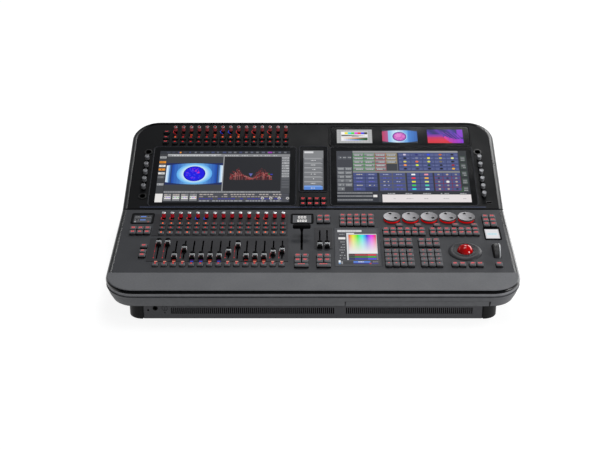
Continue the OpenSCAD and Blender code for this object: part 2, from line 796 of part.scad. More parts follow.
module scroll_wheel() color([0.1, 0.1, 0.1]) {
    on_deck() translate([scroll_x, scroll_s, scroll_n]) {
        translate([-scroll_w / 2, 0, 0]) rotate([0, 90, 0]) cylinder(r = scroll_r, h = scroll_w);
        translate([-15.5, 0, 0]) rotate([0, 90, 0]) cylinder(r = 3, h = 31);
    }
}

module keyboard_drawer() color([0.2, 0.2, 0.21]) {
    bottom = -band_depth + 0.5;
    // How far the moulded band has leaned inwards at a given height
    slope = band_lean / (band_depth - lip_height);
    face_top = -deck_depth + slope * (-drawer_top - lip_height);
    face_low = -deck_depth + slope * (-bottom - lip_height);
    on_deck() {
        difference() {
            translate([drawer_x[0], 0, 0]) rotate([90, 0, 90])
                linear_extrude(height = drawer_x[1] - drawer_x[0])
                polygon([[face_low, bottom], [drawer_back, bottom], [drawer_back, drawer_top - 3],
                    [face_top + 9, drawer_top - 3], [face_top + 9, drawer_top], [face_top, drawer_top]]);
            block([drawer_x[0] + 2, -353, bottom + 2], [drawer_x[1] - 2, drawer_back - 2, 0]);
        }
    }
}

module keyboard() color([0.15, 0.15, 0.16]) {
    low = -band_depth + 2.5;
    on_deck() {
        block([drawer_x[0] + 6, -348, low], [drawer_x[1] - 6, -228, low + 6]);
        for (i = [0:14], j = [0:4])
            block([drawer_x[0] + 11 + i * 20.8, -344 + j * 22, low + 6],
                [drawer_x[0] + 28 + i * 20.8, -326 + j * 22, low + 8.5]);
    }
}

base_tray();
front_vent_panel();
base_corners();
rubber_feet();
screws();
rear_connectors();
cooling_fans();
power_supply();
main_board();
control_board();
deck_bumper();
palm_rest();
deck_panel();
control_inlays();
touch_display();
status_displays();
wheel_light_rings();
hinge_brackets();
pod_shell();
pod_bumper();
pod_panel();
main_screens();
centre_screen();
preview_screens();
lamp_sockets();
keyboard_drawer();
keyboard();
trackball_ring();
trackball();
scroll_wheel();
master_fader();
aux_fader(0);  // aux_fader_left
aux_fader(1);  // aux_fader_right
playback_fader(0);  // playback_fader_01
playback_fader(1);  // playback_fader_02
playback_fader(2);  // playback_fader_03
playback_fader(3);  // playback_fader_04
playback_fader(4);  // playback_fader_05
playback_fader(5);  // playback_fader_06
playback_fader(6);  // playback_fader_07
playback_fader(7);  // playback_fader_08
playback_fader(8);  // playback_fader_09
playback_fader(9);  // playback_fader_10
playback_fader(10);  // playback_fader_11
playback_fader(11);  // playback_fader_12
playback_fader(12);  // playback_fader_13
playback_fader(13);  // playback_fader_14
playback_fader(14);  // playback_fader_15
encoder_wheel(0);  // encoder_wheel_1
encoder_wheel(1);  // encoder_wheel_2
encoder_wheel(2);  // encoder_wheel_3
encoder_wheel(3);  // encoder_wheel_4
encoder_wheel(4);  // encoder_wheel_5
deck_encoders();
pod_encoders();
side_knobs();
playback_keys();
programmer_keys();
numeric_keys();
pod_keys();
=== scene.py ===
import bpy
import bmesh
import json
import random
from math import cos, pi, radians, sin, sqrt
from mathutils import Matrix, Vector


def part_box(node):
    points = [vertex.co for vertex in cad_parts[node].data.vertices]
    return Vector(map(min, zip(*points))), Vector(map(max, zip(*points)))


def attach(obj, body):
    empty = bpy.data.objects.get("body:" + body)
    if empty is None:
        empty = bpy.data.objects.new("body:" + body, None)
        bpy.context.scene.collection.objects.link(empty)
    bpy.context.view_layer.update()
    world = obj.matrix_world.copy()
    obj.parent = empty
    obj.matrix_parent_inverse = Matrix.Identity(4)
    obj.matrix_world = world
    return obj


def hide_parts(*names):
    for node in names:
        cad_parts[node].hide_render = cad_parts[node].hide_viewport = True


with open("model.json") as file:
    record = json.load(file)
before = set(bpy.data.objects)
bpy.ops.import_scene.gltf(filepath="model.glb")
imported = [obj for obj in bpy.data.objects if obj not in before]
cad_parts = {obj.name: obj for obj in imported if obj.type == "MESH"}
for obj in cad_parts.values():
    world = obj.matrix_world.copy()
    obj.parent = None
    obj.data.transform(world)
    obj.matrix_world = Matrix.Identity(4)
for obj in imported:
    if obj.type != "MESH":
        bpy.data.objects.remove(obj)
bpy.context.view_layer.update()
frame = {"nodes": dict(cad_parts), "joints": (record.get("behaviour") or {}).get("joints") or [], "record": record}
nodes = frame["nodes"]
joints = {j["name"]: j for j in frame["joints"]}
body_of = {n: b for b, names in frame["record"]["behaviour"]["bodies"].items() for n in names}

# ---------------- local frames
# The deck and the pod each have a flat frame in millimetres: x across, s running back from
# the hinge gap and n out of the panel.

MM = Matrix.Scale(0.001, 4)


def highest(node, direction):
    return max(v.co.dot(direction) for v in nodes[node].data.vertices)


deck_n = -Vector(joints["deck_encoders_push"]["axis"]).normalized()
pod_n = -Vector(joints["pod_encoders_push"]["axis"]).normalized()
deck_level = highest("deck_panel", deck_n)
pod_level = highest("pod_panel", pod_n)
cross = deck_n.y * pod_n.z - deck_n.z * pod_n.y
gap = Vector((0, (deck_level * pod_n.z - pod_level * deck_n.z) / cross,
              (deck_n.y * pod_level - pod_n.y * deck_level) / cross))


def flat_frame(normal):
    across = Vector((1, 0, 0))
    rotation = Matrix((across, normal.cross(across), normal)).transposed().to_4x4()
    return Matrix.Translation(gap) @ rotation @ MM


DECK = flat_frame(deck_n)
POD = flat_frame(pod_n)
pod_bodies = ("screen_pod", "pod_knob_bank", "side_knob_bank", "pod_key_bank")


def frame_of(node):
    return POD if body_of[node] in pod_bodies else DECK


def span(points):
    """Lower and upper corner of the box around some points."""
    return Vector([min(c) for c in zip(*points)]), Vector([max(c) for c in zip(*points)])


def local_points(node):
    inverse = frame_of(node).inverted()
    return [inverse @ v.co for v in nodes[node].data.vertices]


def local_box(node):
    return span(local_points(node))


def islands(node):
    """Boxes of the separate solids of a node, in its own flat frame, back rows first."""
    points = local_points(node)
    parent = list(range(len(points)))

    def root(i):
        while parent[i] != i:
            parent[i] = parent[parent[i]]
            i = parent[i]
        return i

    first = {}
    for i, p in enumerate(points):
        spot = tuple(round(c, 2) for c in p)
        parent[root(i)] = root(first.setdefault(spot, i))
    for e in nodes[node].data.edges:
        parent[root(e.vertices[0])] = root(e.vertices[1])
    groups = {}
    for i, p in enumerate(points):
        groups.setdefault(root(i), []).append(p)
    return sorted((span(g) for g in groups.values()), key=lambda b: (round(-b[0].y), round(b[0].x)))


def plan(box):
    """Middle and size of a box seen from above: cx, cy, w, d."""
    lo, hi = box
    return (lo.x + hi.x) / 2, (lo.y + hi.y) / 2, hi.x - lo.x, hi.y - lo.y


# ---------------- materials


def srgb(r, g, b):
    def one(c):
        c = c / 255
        return c / 12.92 if c <= 0.04045 else ((c + 0.055) / 1.055) ** 2.4
    return (one(r), one(g), one(b), 1)


def shade(colour, factor):
    return tuple(min(1, c * factor) for c in colour[:3]) + (1,)


def put(node, **values):
    """Sets inputs of a shader node; _ stands for a space in their names."""
    for name, value in values.items():
        node.inputs[name.replace("_", " ")].default_value = value


def add_node(tree, kind, **values):
    made = tree.nodes.new("ShaderNode" + kind)
    put(made, **values)
    return made


def new_material(name, **values):
    made = bpy.data.materials.new(name)
    made.use_nodes = True
    shader = made.node_tree.nodes["Principled BSDF"]
    put(shader, **values)
    return made, made.node_tree, shader


def finish(name, colour, rough=0.5, metal=0.0, grain=300, contrast=0.12, bump=0.05,
           bump_scale=1200, stretch=(1, 1, 1), specular=0.5, wear=0.08, glow=0.0):
    """Procedural finish: mottled colour, uneven roughness and a fine surface relief."""
    colour = srgb(*colour)
    material, tree, shader = new_material(name, Metallic=metal, Specular_IOR_Level=specular)
    place = add_node(tree, "TexCoord")
    mapping = add_node(tree, "Mapping", Scale=stretch)
    tree.links.new(place.outputs["Object"], mapping.inputs["Vector"])

    def noise(scale, detail):
        made = add_node(tree, "TexNoise", Scale=scale, Detail=detail)
        tree.links.new(mapping.outputs["Vector"], made.inputs["Vector"])
        return made.outputs["Fac"]

    ramp = add_node(tree, "ValToRGB")
    for end, position, factor in zip(ramp.color_ramp.elements, (0.3, 0.7), (1 - contrast, 1 + contrast)):
        end.position = position
        end.color = shade(colour, factor)
    tree.links.new(noise(grain, 5), ramp.inputs["Fac"])
    tree.links.new(ramp.outputs["Color"], shader.inputs["Base Color"])
    smudge = add_node(tree, "MapRange", From_Min=0.25, From_Max=0.75,
                      To_Min=max(0.02, rough - wear), To_Max=min(1, rough + wear))
    tree.links.new(noise(14, 4), smudge.inputs["Value"])
    tree.links.new(smudge.outputs["Result"], shader.inputs["Roughness"])
    relief = add_node(tree, "Bump", Strength=bump, Distance=0.0004)
    tree.links.new(noise(bump_scale, 3), relief.inputs["Height"])
    tree.links.new(relief.outputs["Normal"], shader.inputs["Normal"])
    if glow:
        put(shader, Emission_Color=colour, Emission_Strength=glow)
    return material


lights = {}


def light(r, g, b, strength=1.0, base=(0.01, 0.01, 0.01, 1)):
    """Flat light of a lamp or of a patch of a lit screen."""
    name = "light_%d_%d_%d_%d" % (r, g, b, round(strength * 100))
    if name not in lights:
        lights[name] = new_material(name, Base_Color=base, Roughness=0.12, Specular_IOR_Level=0.15,
                                    Emission_Color=srgb(r, g, b), Emission_Strength=strength)[0]
    return lights[name]


# Casing
rim_black = finish("rim_black", (10, 11, 12), 0.3, bump=0.02, grain=60, specular=0.3)
lip_grey = finish("lip_grey", (92, 93, 96), 0.48, grain=90, specular=0.4)
band_grey = finish("band_grey", (60, 61, 64), bump=0.08, grain=90, specular=0.35)
deck_grey = finish("deck_grey", (54, 55, 58), 0.6, bump=0.08, bump_scale=2200, grain=500,
                   contrast=0.08, specular=0.15)
pod_dark = finish("pod_dark", (9, 10, 12), bump=0.08, bump_scale=2200, grain=500, contrast=0.1,
                  specular=0.08)
palm_soft = finish("palm_soft", (86, 87, 90), 0.72, bump=0.25, bump_scale=1500, grain=240, contrast=0.07)
inlay_dark = finish("inlay_dark", (40, 40, 43), 0.55, specular=0.15)
shell_dark = finish("shell_dark", (24, 25, 27), 0.55, bump=0.3, bump_scale=1500, grain=200, specular=0.35)
tray_metal = finish("tray_metal", (24, 25, 27), 0.55, metal=0.2, bump=0.12, bump_scale=1600, specular=0.2)
vent_metal = finish("vent_metal", (54, 54, 57), metal=0.1, bump=0.1, bump_scale=1800, specular=0.3)
corner_black = finish("corner_black", (14, 14, 15), 0.45, bump=0.12, bump_scale=900, specular=0.12)
# Dark sheet behind the vent slots: painted shade that darkens them, with a faint red-brown tint.
slot_shade_brown = finish("slot_shade_brown", (14, 7, 7), 0.9, grain=500, bump=0.2, specular=0.05)
strip_blue = finish("strip_blue", (78, 87, 114), bump=0.04, specular=0.15)

# Displays
glass_black = finish("glass_black", (5, 6, 8), 0.1, bump=0.0, grain=30, wear=0.04, specular=0.35)
touch_grey = finish("touch_grey", (64, 65, 69), 0.55, bump=0.04, specular=0.15)
# Frames round the displays: near-black, with a blue tint that is a painted bluish glint.
bezel_painted_glint = finish("bezel_painted_glint", (17, 19, 25), grain=90, bump=0.02, specular=0.12)

# Fittings
rubber = finish("rubber", (18, 18, 19), 0.85, bump=0.3, bump_scale=700)
steel = finish("steel", (150, 152, 155), 0.35, metal=0.95, stretch=(1, 12, 1), grain=200)
zinc = finish("zinc", (120, 122, 126), 0.42, metal=0.9, stretch=(14, 1, 1), grain=160)
board_green = finish("board_green", (14, 66, 38), 0.4, grain=90, contrast=0.25, bump=0.15, bump_scale=400)
board_black = finish("board_black", (7, 8, 8), 0.7, grain=90, contrast=0.25, bump=0.15, bump_scale=400,
                     specular=0.05)

# Controls
key_grey = finish("key_grey", (82, 82, 85), 0.6, bump=0.1, bump_scale=1500, grain=350, specular=0.2)
play_key_grey = finish("play_key_grey", (64, 65, 68), 0.6, bump=0.1, bump_scale=1500, grain=350,
                       specular=0.15)
key_skirt = finish("key_skirt", (7, 7, 8), 0.65, bump=0.06, specular=0.05)
pod_key_grey = finish("pod_key_grey", (22, 22, 25), 0.6, bump=0.1, bump_scale=1500, specular=0.1)
cap_black = finish("cap_black", (11, 11, 12), 0.4, bump=0.06, specular=0.3)
cap_matt = finish("cap_matt", (6, 6, 7), 0.75, bump=0.06, specular=0.05)
cap_silver = finish("cap_silver", (160, 162, 164), 0.45, metal=0.2, grain=120, contrast=0.04, bump=0.02,
                    specular=0.4)
# Red cheeks of the playback fader caps; their faint glow is painted light, as they hold no lamp.
cap_cheek_painted_glow = finish("cap_cheek_painted_glow", (84, 30, 32), specular=0.2, glow=0.25)
stem_steel = finish("stem_steel", (140, 142, 146), 0.35, metal=0.9, stretch=(1, 1, 10))
knob_silver = finish("knob_silver", (196, 197, 200), 0.3, metal=0.8, grain=180, bump=0.04)
side_silver = finish("side_silver", (118, 119, 122), 0.4, metal=0.5, grain=180, bump=0.04)
# Encoder wheel discs; their base colour is varied below into a painted highlight on the left and painted shade on
# the right.
wheel_silver_painted_light = finish("wheel_silver_painted_light", (112, 111, 113), 0.46, metal=0.85, grain=420, contrast=0.06, bump=0.02)
ball_red = finish("ball_red", (162, 0, 2), 0.12, grain=50, contrast=0.05, bump=0.0, specular=0.3, wear=0.01)
ring_black = finish("ring_black", (44, 44, 47), 0.48, specular=0.25)
scroll_rubber = finish("scroll_rubber", (30, 30, 32), 0.42, bump=0.15)
ring_red = finish("ring_red", (196, 2, 4), 0.4, grain=60, contrast=0.2, glow=0.55, specular=0.2)

# Lit controls
legend_red = light(240, 80, 86, 1.5)
lamp_orange = light(255, 104, 56, 1.5)
lamp_red = light(214, 32, 36, 1.2)
lamp_dim = light(168, 40, 48, 1.0)
lamp_flash = light(226, 24, 34, 1.4)
knob_glow = light(126, 14, 24, 0.8, srgb(90, 14, 18))
knob_core = light(96, 26, 30, 0.8, srgb(70, 40, 42))
arc_red = light(236, 36, 44, 1.4)
arc_blue = light(60, 70, 255, 1.5)
arc_dim = light(96, 16, 20, 0.8)


def vary_across(material, socket, low, high, start, stop, mirror=False):
    """Lets a shader value change from low to high across a piece's own width."""
    tree = material.node_tree
    shader = tree.nodes["Principled BSDF"]
    split = add_node(tree, "SeparateXYZ")
    tree.links.new(add_node(tree, "TexCoord").outputs["Generated"], split.inputs["Vector"])
    across = split.outputs["X"]
    if mirror:
        for kind, value in (("SUBTRACT", 0.5), ("ABSOLUTE", 0.0)):
            step = add_node(tree, "Math")
            step.operation = kind
            step.inputs[1].default_value = value
            tree.links.new(across, step.inputs[0])
            across = step.outputs["Value"]
    grow = add_node(tree, "MapRange", From_Min=start, From_Max=stop, To_Min=low, To_Max=high)
    tree.links.new(across, grow.inputs["Value"])
    if socket != "Base Color":
        tree.links.new(grow.outputs["Result"], shader.inputs[socket])
        return
    tint = add_node(tree, "VectorMath")
    tint.operation = "SCALE"
    tree.links.new(shader.inputs["Base Color"].links[0].from_socket, tint.inputs[0])
    tree.links.new(grow.outputs["Result"], tint.inputs["Scale"])
    tree.links.new(tint.outputs["Vector"], shader.inputs["Base Color"])


vary_across(rim_black, "Specular IOR Level", 0.02, 0.8, 0.455, 0.49, mirror=True)
# Painted light on the wheel discs: base colour brighter on their left and darker on their right, as light falls on
# the spun metal.
vary_across(wheel_silver_painted_light, "Base Color", 1.5, 0.62, 0.1, 0.9)

# ---------------- mesh building

crease = radians(35)
box_faces = [(3, 2, 1, 0), (4, 5, 6, 7), (0, 1, 5, 4), (1, 2, 6, 5), (2, 3, 7, 6), (3, 0, 4, 7)]


def box_corners(lo, hi):
    return [(x, y, z) for z in (lo[2], hi[2])
            for x, y in ((lo[0], lo[1]), (hi[0], lo[1]), (hi[0], hi[1]), (lo[0], hi[1]))]


def soften(obj):
    """Marks the creases of a smooth-shaded piece as sharp."""
    bm = bmesh.new()
    bm.from_mesh(obj.data)
    for e in bm.edges:
        if len(e.link_faces) == 2:
            e.smooth = e.calc_face_angle(0) < crease
    bm.to_mesh(obj.data)
    bm.free()


def install(mesh, node, replace, name):
    """Puts a finished piece on its node's body and, if asked, in the node's place."""
    obj = bpy.data.objects.new(name, mesh)
    bpy.context.scene.collection.objects.link(obj)
    soften(obj)
    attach(obj, body_of[node])
    if replace:
        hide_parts(node)
    return obj


class Shape:
    """Gathers faces in a flat frame and turns them into one piece."""

    def __init__(self, name, node, within=None):
        self.name = name
        self.node = node
        self.within = within or frame_of(node)
        self.verts, self.faces, self.marks, self.smooth, self.materials = [], [], [], [], []

    def faces_of(self, faces, material, smooth):
        if material not in self.materials:
            self.materials.append(material)
        self.faces += faces
        self.marks += [self.materials.index(material)] * len(faces)
        self.smooth += [smooth] * len(faces)

    def add(self, verts, faces, material, smooth=False):
        base = len(self.verts)
        self.verts += [Vector(v) for v in verts]
        self.faces_of([[base + i for i in f] for f in faces], material, smooth)

    def box(self, lo, hi, material):
        self.add(box_corners(lo, hi), box_faces, material)

    def quad(self, x0, s0, x1, s1, n, material):
        self.add([(x0, s0, n), (x1, s0, n), (x1, s1, n), (x0, s1, n)], [(0, 1, 2, 3)], material)

    def disc(self, x, s, n, r, material, steps):
        turns = [2 * pi * i / steps for i in range(steps)]
        self.add([(x + r * cos(a), s + r * sin(a), n) for a in turns], [range(steps)], material)

    def loft(self, rings, materials, close=True, cap_low=False, cap_high=True):
        """Skins rings of equal length; materials holds one finish, or one per band."""
        count = len(rings[0])
        base = len(self.verts)
        self.verts += [Vector(p) for ring in rings for p in ring]
        bands = len(rings) - 1
        if not isinstance(materials, list):
            materials = [materials] * bands
        for b, material in enumerate(materials):
            low, high = base + b * count, base + (b + 1) * count
            pairs = [(i, (i + 1) % count) for i in range(count if close else count - 1)]
            self.faces_of([[low + i, low + j, high + j, high + i] for i, j in pairs], material, True)
        if cap_low:
            self.faces_of([[base + i for i in reversed(range(count))]], materials[0], False)
        if cap_high:
            self.faces_of([[base + bands * count + i for i in range(count)]], materials[-1], False)

    def spin(self, x, s, profile, material, steps=28, teeth=0, depth=0.0, cap_low=False, cap_high=True):
        """Turns a profile of (radius, height); teeth give its outside a knurl of that depth."""
        rings = []
        for r, n in profile:
            ring = []
            for i in range(steps):
                a = 2 * pi * i / steps
                grip = depth * (0.5 - 0.5 * cos(teeth * a))
                ring.append((x + (r - grip) * cos(a), s + (r - grip) * sin(a), n))
            rings.append(ring)
        self.loft(rings, material, cap_low=cap_low, cap_high=cap_high)

    def pad(self, x0, s0, x1, s1, low, top, material, r=0.6):
        """Block with rounded upper edges."""
        cx, cy, w, d = (x0 + x1) / 2, (s0 + s1) / 2, x1 - x0, s1 - s0
        self.loft([rounded(cx, cy, w, d, r, low), rounded(cx, cy, w, d, r, top - r),
                   rounded(cx, cy, w - 0.6 * r, d - 0.6 * r, r, top - 0.3 * r),
                   rounded(cx, cy, w - 2 * r, d - 2 * r, r * 0.6, top)], material)

    def done(self, replace=False):
        mesh = bpy.data.meshes.new(self.name)
        mesh.from_pydata([self.within @ v for v in self.verts], [], self.faces)
        for m in self.materials:
            mesh.materials.append(m)
        mesh.polygons.foreach_set("material_index", self.marks)
        mesh.polygons.foreach_set("use_smooth", self.smooth)
        mesh.update()
        return install(mesh, self.node, replace, self.name)


def rounded(cx, cy, w, d, r, n, steps=3):
    """Ring of a rectangle with rounded corners at height n."""
    r = min(r, w / 2 - 0.01, d / 2 - 0.01)
    ring = []
    for qx, qy, start in ((1, 1, 0), (-1, 1, 90), (-1, -1, 180), (1, -1, 270)):
        ring += arc(cx + qx * (w / 2 - r), cy + qy * (d / 2 - r), r, start, n, steps - 1)
    return ring


def arc(cx, cy, r, start, n, steps):
    """A quarter turn from the start angle, in so many steps."""
    turns = [radians(start + 90 * i / steps) for i in range(steps + 1)]
    return [(cx + r * cos(a), cy + r * sin(a), n) for a in turns]


def refined(node, material, bevel, segments=2, name=None):
    """The node's own shape with its planar faces joined and its edges broken."""
    bm = bmesh.new()
    bm.from_mesh(nodes[node].data)
    bmesh.ops.remove_doubles(bm, verts=bm.verts, dist=0.000004)
    bmesh.ops.dissolve_limit(bm, angle_limit=radians(0.5), verts=bm.verts, edges=bm.edges)
    edges = [e for e in bm.edges if len(e.link_faces) == 2 and e.calc_face_angle(0) > radians(25)
             and e.calc_length() > bevel * 0.0022]
    bmesh.ops.bevel(bm, geom=edges, offset=bevel * 0.001, segments=segments, profile=0.6,
                    affect="EDGES", clamp_overlap=True)
    for f in bm.faces:
        f.smooth = True
        f.material_index = 0
    name = name or node + "_finished"
    mesh = bpy.data.meshes.new(name)
    bm.to_mesh(mesh)
    bm.free()
    mesh.materials.append(material)
    even = install(mesh, node, True, name).modifiers.new("even_faces", "WEIGHTED_NORMAL")
    even.keep_sharp = True
    even.weight = 100


def dress(node, material):
    """Gives a CAD node a procedural finish and keeps it in view."""
    obj = nodes[node]
    obj.data.materials.clear()
    obj.data.materials.append(material)


# ---------------- casing

rim_lo, rim_hi = local_box("deck_bumper")
pod_lo, pod_hi = local_box("pod_bumper")
half_x = rim_hi.x
corner = 70.0
turn_steps = 16
round_edge = [(0, 5.2), (0.35, 3.2), (1.3, 1.6), (2.8, 0.5), (5.2, 0)]


def deck_path(inset, n, back):
    """Open path along the left side, the rounded front and the right side of the deck."""
    x, front, r = half_x - inset, rim_lo.y + inset, corner - inset
    return [(-x, back, n)] + arc(-x + r, front + r, r, 180, n, turn_steps) \
        + arc(x - r, front + r, r, 270, n, turn_steps) + [(x, back, n)]


def pod_path(inset, n):
    """Open path along the right side, the rounded back and the left side of the pod."""
    x, back, r = half_x - inset, pod_hi.y - inset, corner - inset
    return [(x, pod_lo.y, n)] + arc(x - r, back - r, r, 0, n, turn_steps) \
        + arc(-x + r, back - r, r, 90, n, turn_steps) + [(-x, pod_lo.y, n)]


def section_caps(shape, rings, material):
    """Closes both ends of an open loft whose rings form a closed section."""
    for ring in ([r[0] for r in reversed(rings)], [r[-1] for r in rings]):
        shape.add(ring, [range(len(ring))], material)


def deck_rim():
    """Front band leaning back to the foot, projecting lip, crease and rounded black rim."""
    band, lip, lean = rim_lo.z, -17.0, 12.0
    foot = [(24, band), (lean + 1.2, band), (lean + 0.2, band + 0.4)]
    face = [(lean - 0.2, band + 1.4), (lean * 0.5, band * 0.72), (lean * 0.2, band * 0.5),
            (0.8, lip - 3.4), (0.2, lip - 2.2), (0.3, lip - 1.2), (1.0, lip - 0.6), (2.2, lip - 0.1),
            (2.4, lip + 0.7)]
    shelf = [(2.0, lip + 1.4)]
    rim = [(1.7, -8.8), (1.5, -8.0), (0.2, -7.6)] + [(i, -n) for i, n in round_edge]
    rim += [(11.2, 0), (11.8, -0.25), (12, -0.9), (12, -3), (24, -3)]
    rings = [deck_path(i, n, rim_hi.y) for i, n in foot + face + shelf + rim]
    bands = [corner_black] * len(foot) + [band_grey] * len(face) + [lip_grey] * len(shelf)
    s = Shape("deck_rim", "deck_bumper")
    s.loft(rings, bands + [rim_black] * (len(rim) - 1), close=False, cap_high=False)
    s.loft([rings[-1], rings[0]], corner_black, close=False, cap_high=False)
    section_caps(s, rings, rim_black)
    return s.done(replace=True)


def cut_opening(obj, lo, hi):
    """Takes a block given in the deck's frame out of a piece."""
    cutter = bpy.data.meshes.new("cutter")
    cutter.from_pydata([DECK @ Vector(p) for p in box_corners(lo, hi)], [], box_faces)
    tool = bpy.data.objects.new("cutter", cutter)
    bpy.context.scene.collection.objects.link(tool)
    cut = obj.modifiers.new("opening", "BOOLEAN")
    cut.operation = "DIFFERENCE"
    cut.object = tool
    cut.solver = "EXACT"
    graph = bpy.context.evaluated_depsgraph_get()
    mesh = bpy.data.meshes.new_from_object(obj.evaluated_get(graph))
    obj.modifiers.remove(cut)
    obj.data = mesh
    bpy.data.objects.remove(tool)
    soften(obj)


# The drawer's opening is cut out of the front band.
behind_band = -340
drawer_lo, drawer_hi = local_box("keyboard_drawer")
cut_opening(deck_rim(), (drawer_lo.x - 3, drawer_lo.y - 5, drawer_lo.z - 2),
            (drawer_hi.x + 3, behind_band, drawer_hi.z + 1.2))


def pod_rim():
    levels = [(11.9, -17), (0.8, -17), (0.2, -16.7), (0, -16.2), (0, -8.6), (0.3, -8.3), (0.3, -7.9)]
    levels += [(0, -7.6)] + [(i, -n) for i, n in round_edge] + [(11, 0), (11.6, -0.2), (11.9, -0.8)]
    rings = [pod_path(i, n) for i, n in levels]
    s = Shape("pod_rim", "pod_bumper")
    s.loft(rings + [rings[0]], rim_black, close=False, cap_high=False)
    section_caps(s, rings, rim_black)
    s.done(replace=True)


def palm_pad():
    """A soft moulding with a rolled front edge."""
    back = local_box("palm_rest")[1].y
    s = Shape("palm_pad", "palm_rest")
    levels = [(0.2, -2.9), (0, -2.2), (0.1, -1.2), (0.5, -0.3), (1.2, 0.4), (2.2, 0.85), (3.4, 1)]
    s.loft([deck_path(2.5 + i, n, back - (i if i > 0.3 else 0)) for i, n in levels],
           [rim_black] * 3 + [palm_soft] * 3, cap_low=True)
    s.done(replace=True)


pod_rim()
palm_pad()

for node, material, bevel in (
        ("deck_panel", deck_grey, 0.3), ("pod_panel", pod_dark, 0.3), ("control_inlays", inlay_dark, 0.25),
        ("pod_shell", shell_dark, 0.8), ("base_tray", tray_metal, 0.5), ("front_vent_panel", vent_metal, 0.3),
        ("base_corners", corner_black, 0.8), ("touch_display", touch_grey, 0.25),
        ("status_displays", glass_black, 0.25), ("main_screens", glass_black, 0.25),
        ("centre_screen", glass_black, 0.25), ("preview_screens", glass_black, 0.25),
        ("lamp_sockets", cap_black, 0.3), ("keyboard_drawer", band_grey, 0.4)):
    refined(node, material, bevel)

for node, material in (
        ("rubber_feet", rubber), ("screws", steel), ("rear_connectors", cap_black),
        ("cooling_fans", cap_black), ("power_supply", zinc), ("main_board", board_green),
        ("control_board", board_black), ("hinge_brackets", cap_black), ("keyboard", cap_black),
        ("wheel_light_rings", ring_red)):
    dress(node, material)

# ---------------- keys

left_block = -385   # keys left of this line stand beside the columns
deck_columns = sorted(plan(b)[0] for b in islands("deck_encoders"))
pod_columns = sorted({round(plan(b)[0], 2) for b in islands("pod_encoders")})


def column_of(x, columns):
    pitch = (columns[-1] - columns[0]) / (len(columns) - 1)
    return round((x - columns[0]) / pitch) + 1


def keycap(shape, box, cap):
    """Key with a dark skirt under a sculpted cap whose rear edge falls away further than its front; the skirt's
    near-black is partly the key's dark lower body and partly painted shade on its unlit lower faces.
    """
    cx, cy, w, d = plan(box)
    top = box[1].z
    shape.loft([rounded(cx, cy, w - 0.4, d - 0.4, 1.4, n) for n in (-1.4, top - 3.8)], key_skirt,
               cap_high=False)
    rings = []
    for narrow, front, back, drop in ((0.3, 0.2, 0.2, 3.8), (0.6, 0.3, 0.7, 1.8), (1.3, 0.6, 1.8, 0.7),
                                      (2.1, 1.1, 2.7, 0.15), (3.3, 1.9, 3.5, 0), (5.4, 3.2, 4.6, 0.25)):
        rings.append(rounded(cx, cy + (front - back) / 2, w - narrow, d - front - back, 1.5, top - drop))
    shape.loft(rings, cap)
    return top + 0.02


def legend(shape, rng, cx, cy, w, d, n, rows, bars=(2, 3, 3, 4)):
    """Rows of short bars that read as a lit legend."""
    for row in range(rows):
        count = rng.choice(bars)
        width = w * rng.uniform(0.75, 1.0)
        x = cx - width / 2
        y = cy + (row - (rows - 1) / 2) * d / rows
        bar = (width - 0.45 * (count - 1)) / count
        for i in range(count):
            shape.quad(x, y - 0.7, x + bar * rng.uniform(0.75, 1.0), y + 0.7, n, legend_red)
            x += bar + 0.45


def key_bank(name, node, seed, tall_rows, digits_below=None):
    """Caps every key of a node; keys below the given line carry the short legends of digits."""
    rng = random.Random(seed)
    shape = Shape(name, node)
    for box in islands(node):
        cx, cy, w, d = plan(box)
        n = keycap(shape, box, key_grey)
        short = digits_below is not None and cy < digits_below
        wide = w * (rng.choice((0.2, 0.24, 0.3, 0.5)) if short else 0.6)
        legend(shape, rng, cx, cy + d * 0.1, wide, d * 0.36, n, tall_rows if d > 15 else 1,
               (1, 1, 2) if short else (2, 3, 3, 4))
    shape.done(replace=True)


key_bank("programmer_keycaps", "programmer_keys", 129, tall_rows=2)
key_bank("numeric_keycaps", "numeric_keys", 108, tall_rows=1, digits_below=-190)

# Playback and pod keys carry a lit window, and those of the left block a legend.
rng = random.Random(5)
key_boxes = islands("playback_keys")
row_s = sorted({round(plan(b)[1]) for b in key_boxes if b[0].x > left_block}, reverse=True)
bright_columns = [(1, 2, 3, 4, 5, 6, 12, 13), (), (1, 2, 4, 9, 10, 12, 13, 14, 15), ()]
row_lamps = [lamp_dim, lamp_red, lamp_dim, lamp_flash]
playback = Shape("playback_keycaps", "playback_keys")
for box in key_boxes:
    cx, cy, w, d = plan(box)
    dark = cx > left_block and cy > row_s[2] + 4
    n = keycap(playback, box, play_key_grey if dark else key_grey)
    if cx < left_block:
        legend(playback, rng, cx, cy, w * 0.55, d * 0.42, n, 2)
        continue
    row = min(range(len(row_s)), key=lambda i: abs(row_s[i] - cy))
    bright = column_of(cx, deck_columns) in bright_columns[row]
    low, high = (box[1].y - 5.8, box[1].y - 2.6) if row == 3 else (cy - 1.4, cy + 2.6)
    playback.quad(cx - 1.7, low, cx + 1.7, high, n, lamp_orange if bright else row_lamps[row])
playback.done(replace=True)

lamp_rows, top_row = 200, 260
pod_keys = Shape("pod_keycaps", "pod_keys")
for box in islands("pod_keys"):
    cx, cy, w, d = plan(box)
    n = keycap(pod_keys, box, pod_key_grey)
    if cy > lamp_rows and cx > left_block:
        bright = column_of(cx, pod_columns) in (1, 7, 8, 9, 11, 13) and cy > top_row
        pod_keys.quad(cx - 2.2, cy + 0.2, cx + 2.2, cy + 2.8, n + 0.04, lamp_orange if bright else lamp_red)
    else:
        legend(pod_keys, rng, cx, cy, w * 0.55, d * 0.4, n, 2 if d > 14 else 1)
pod_keys.done(replace=True)

# ---------------- knobs


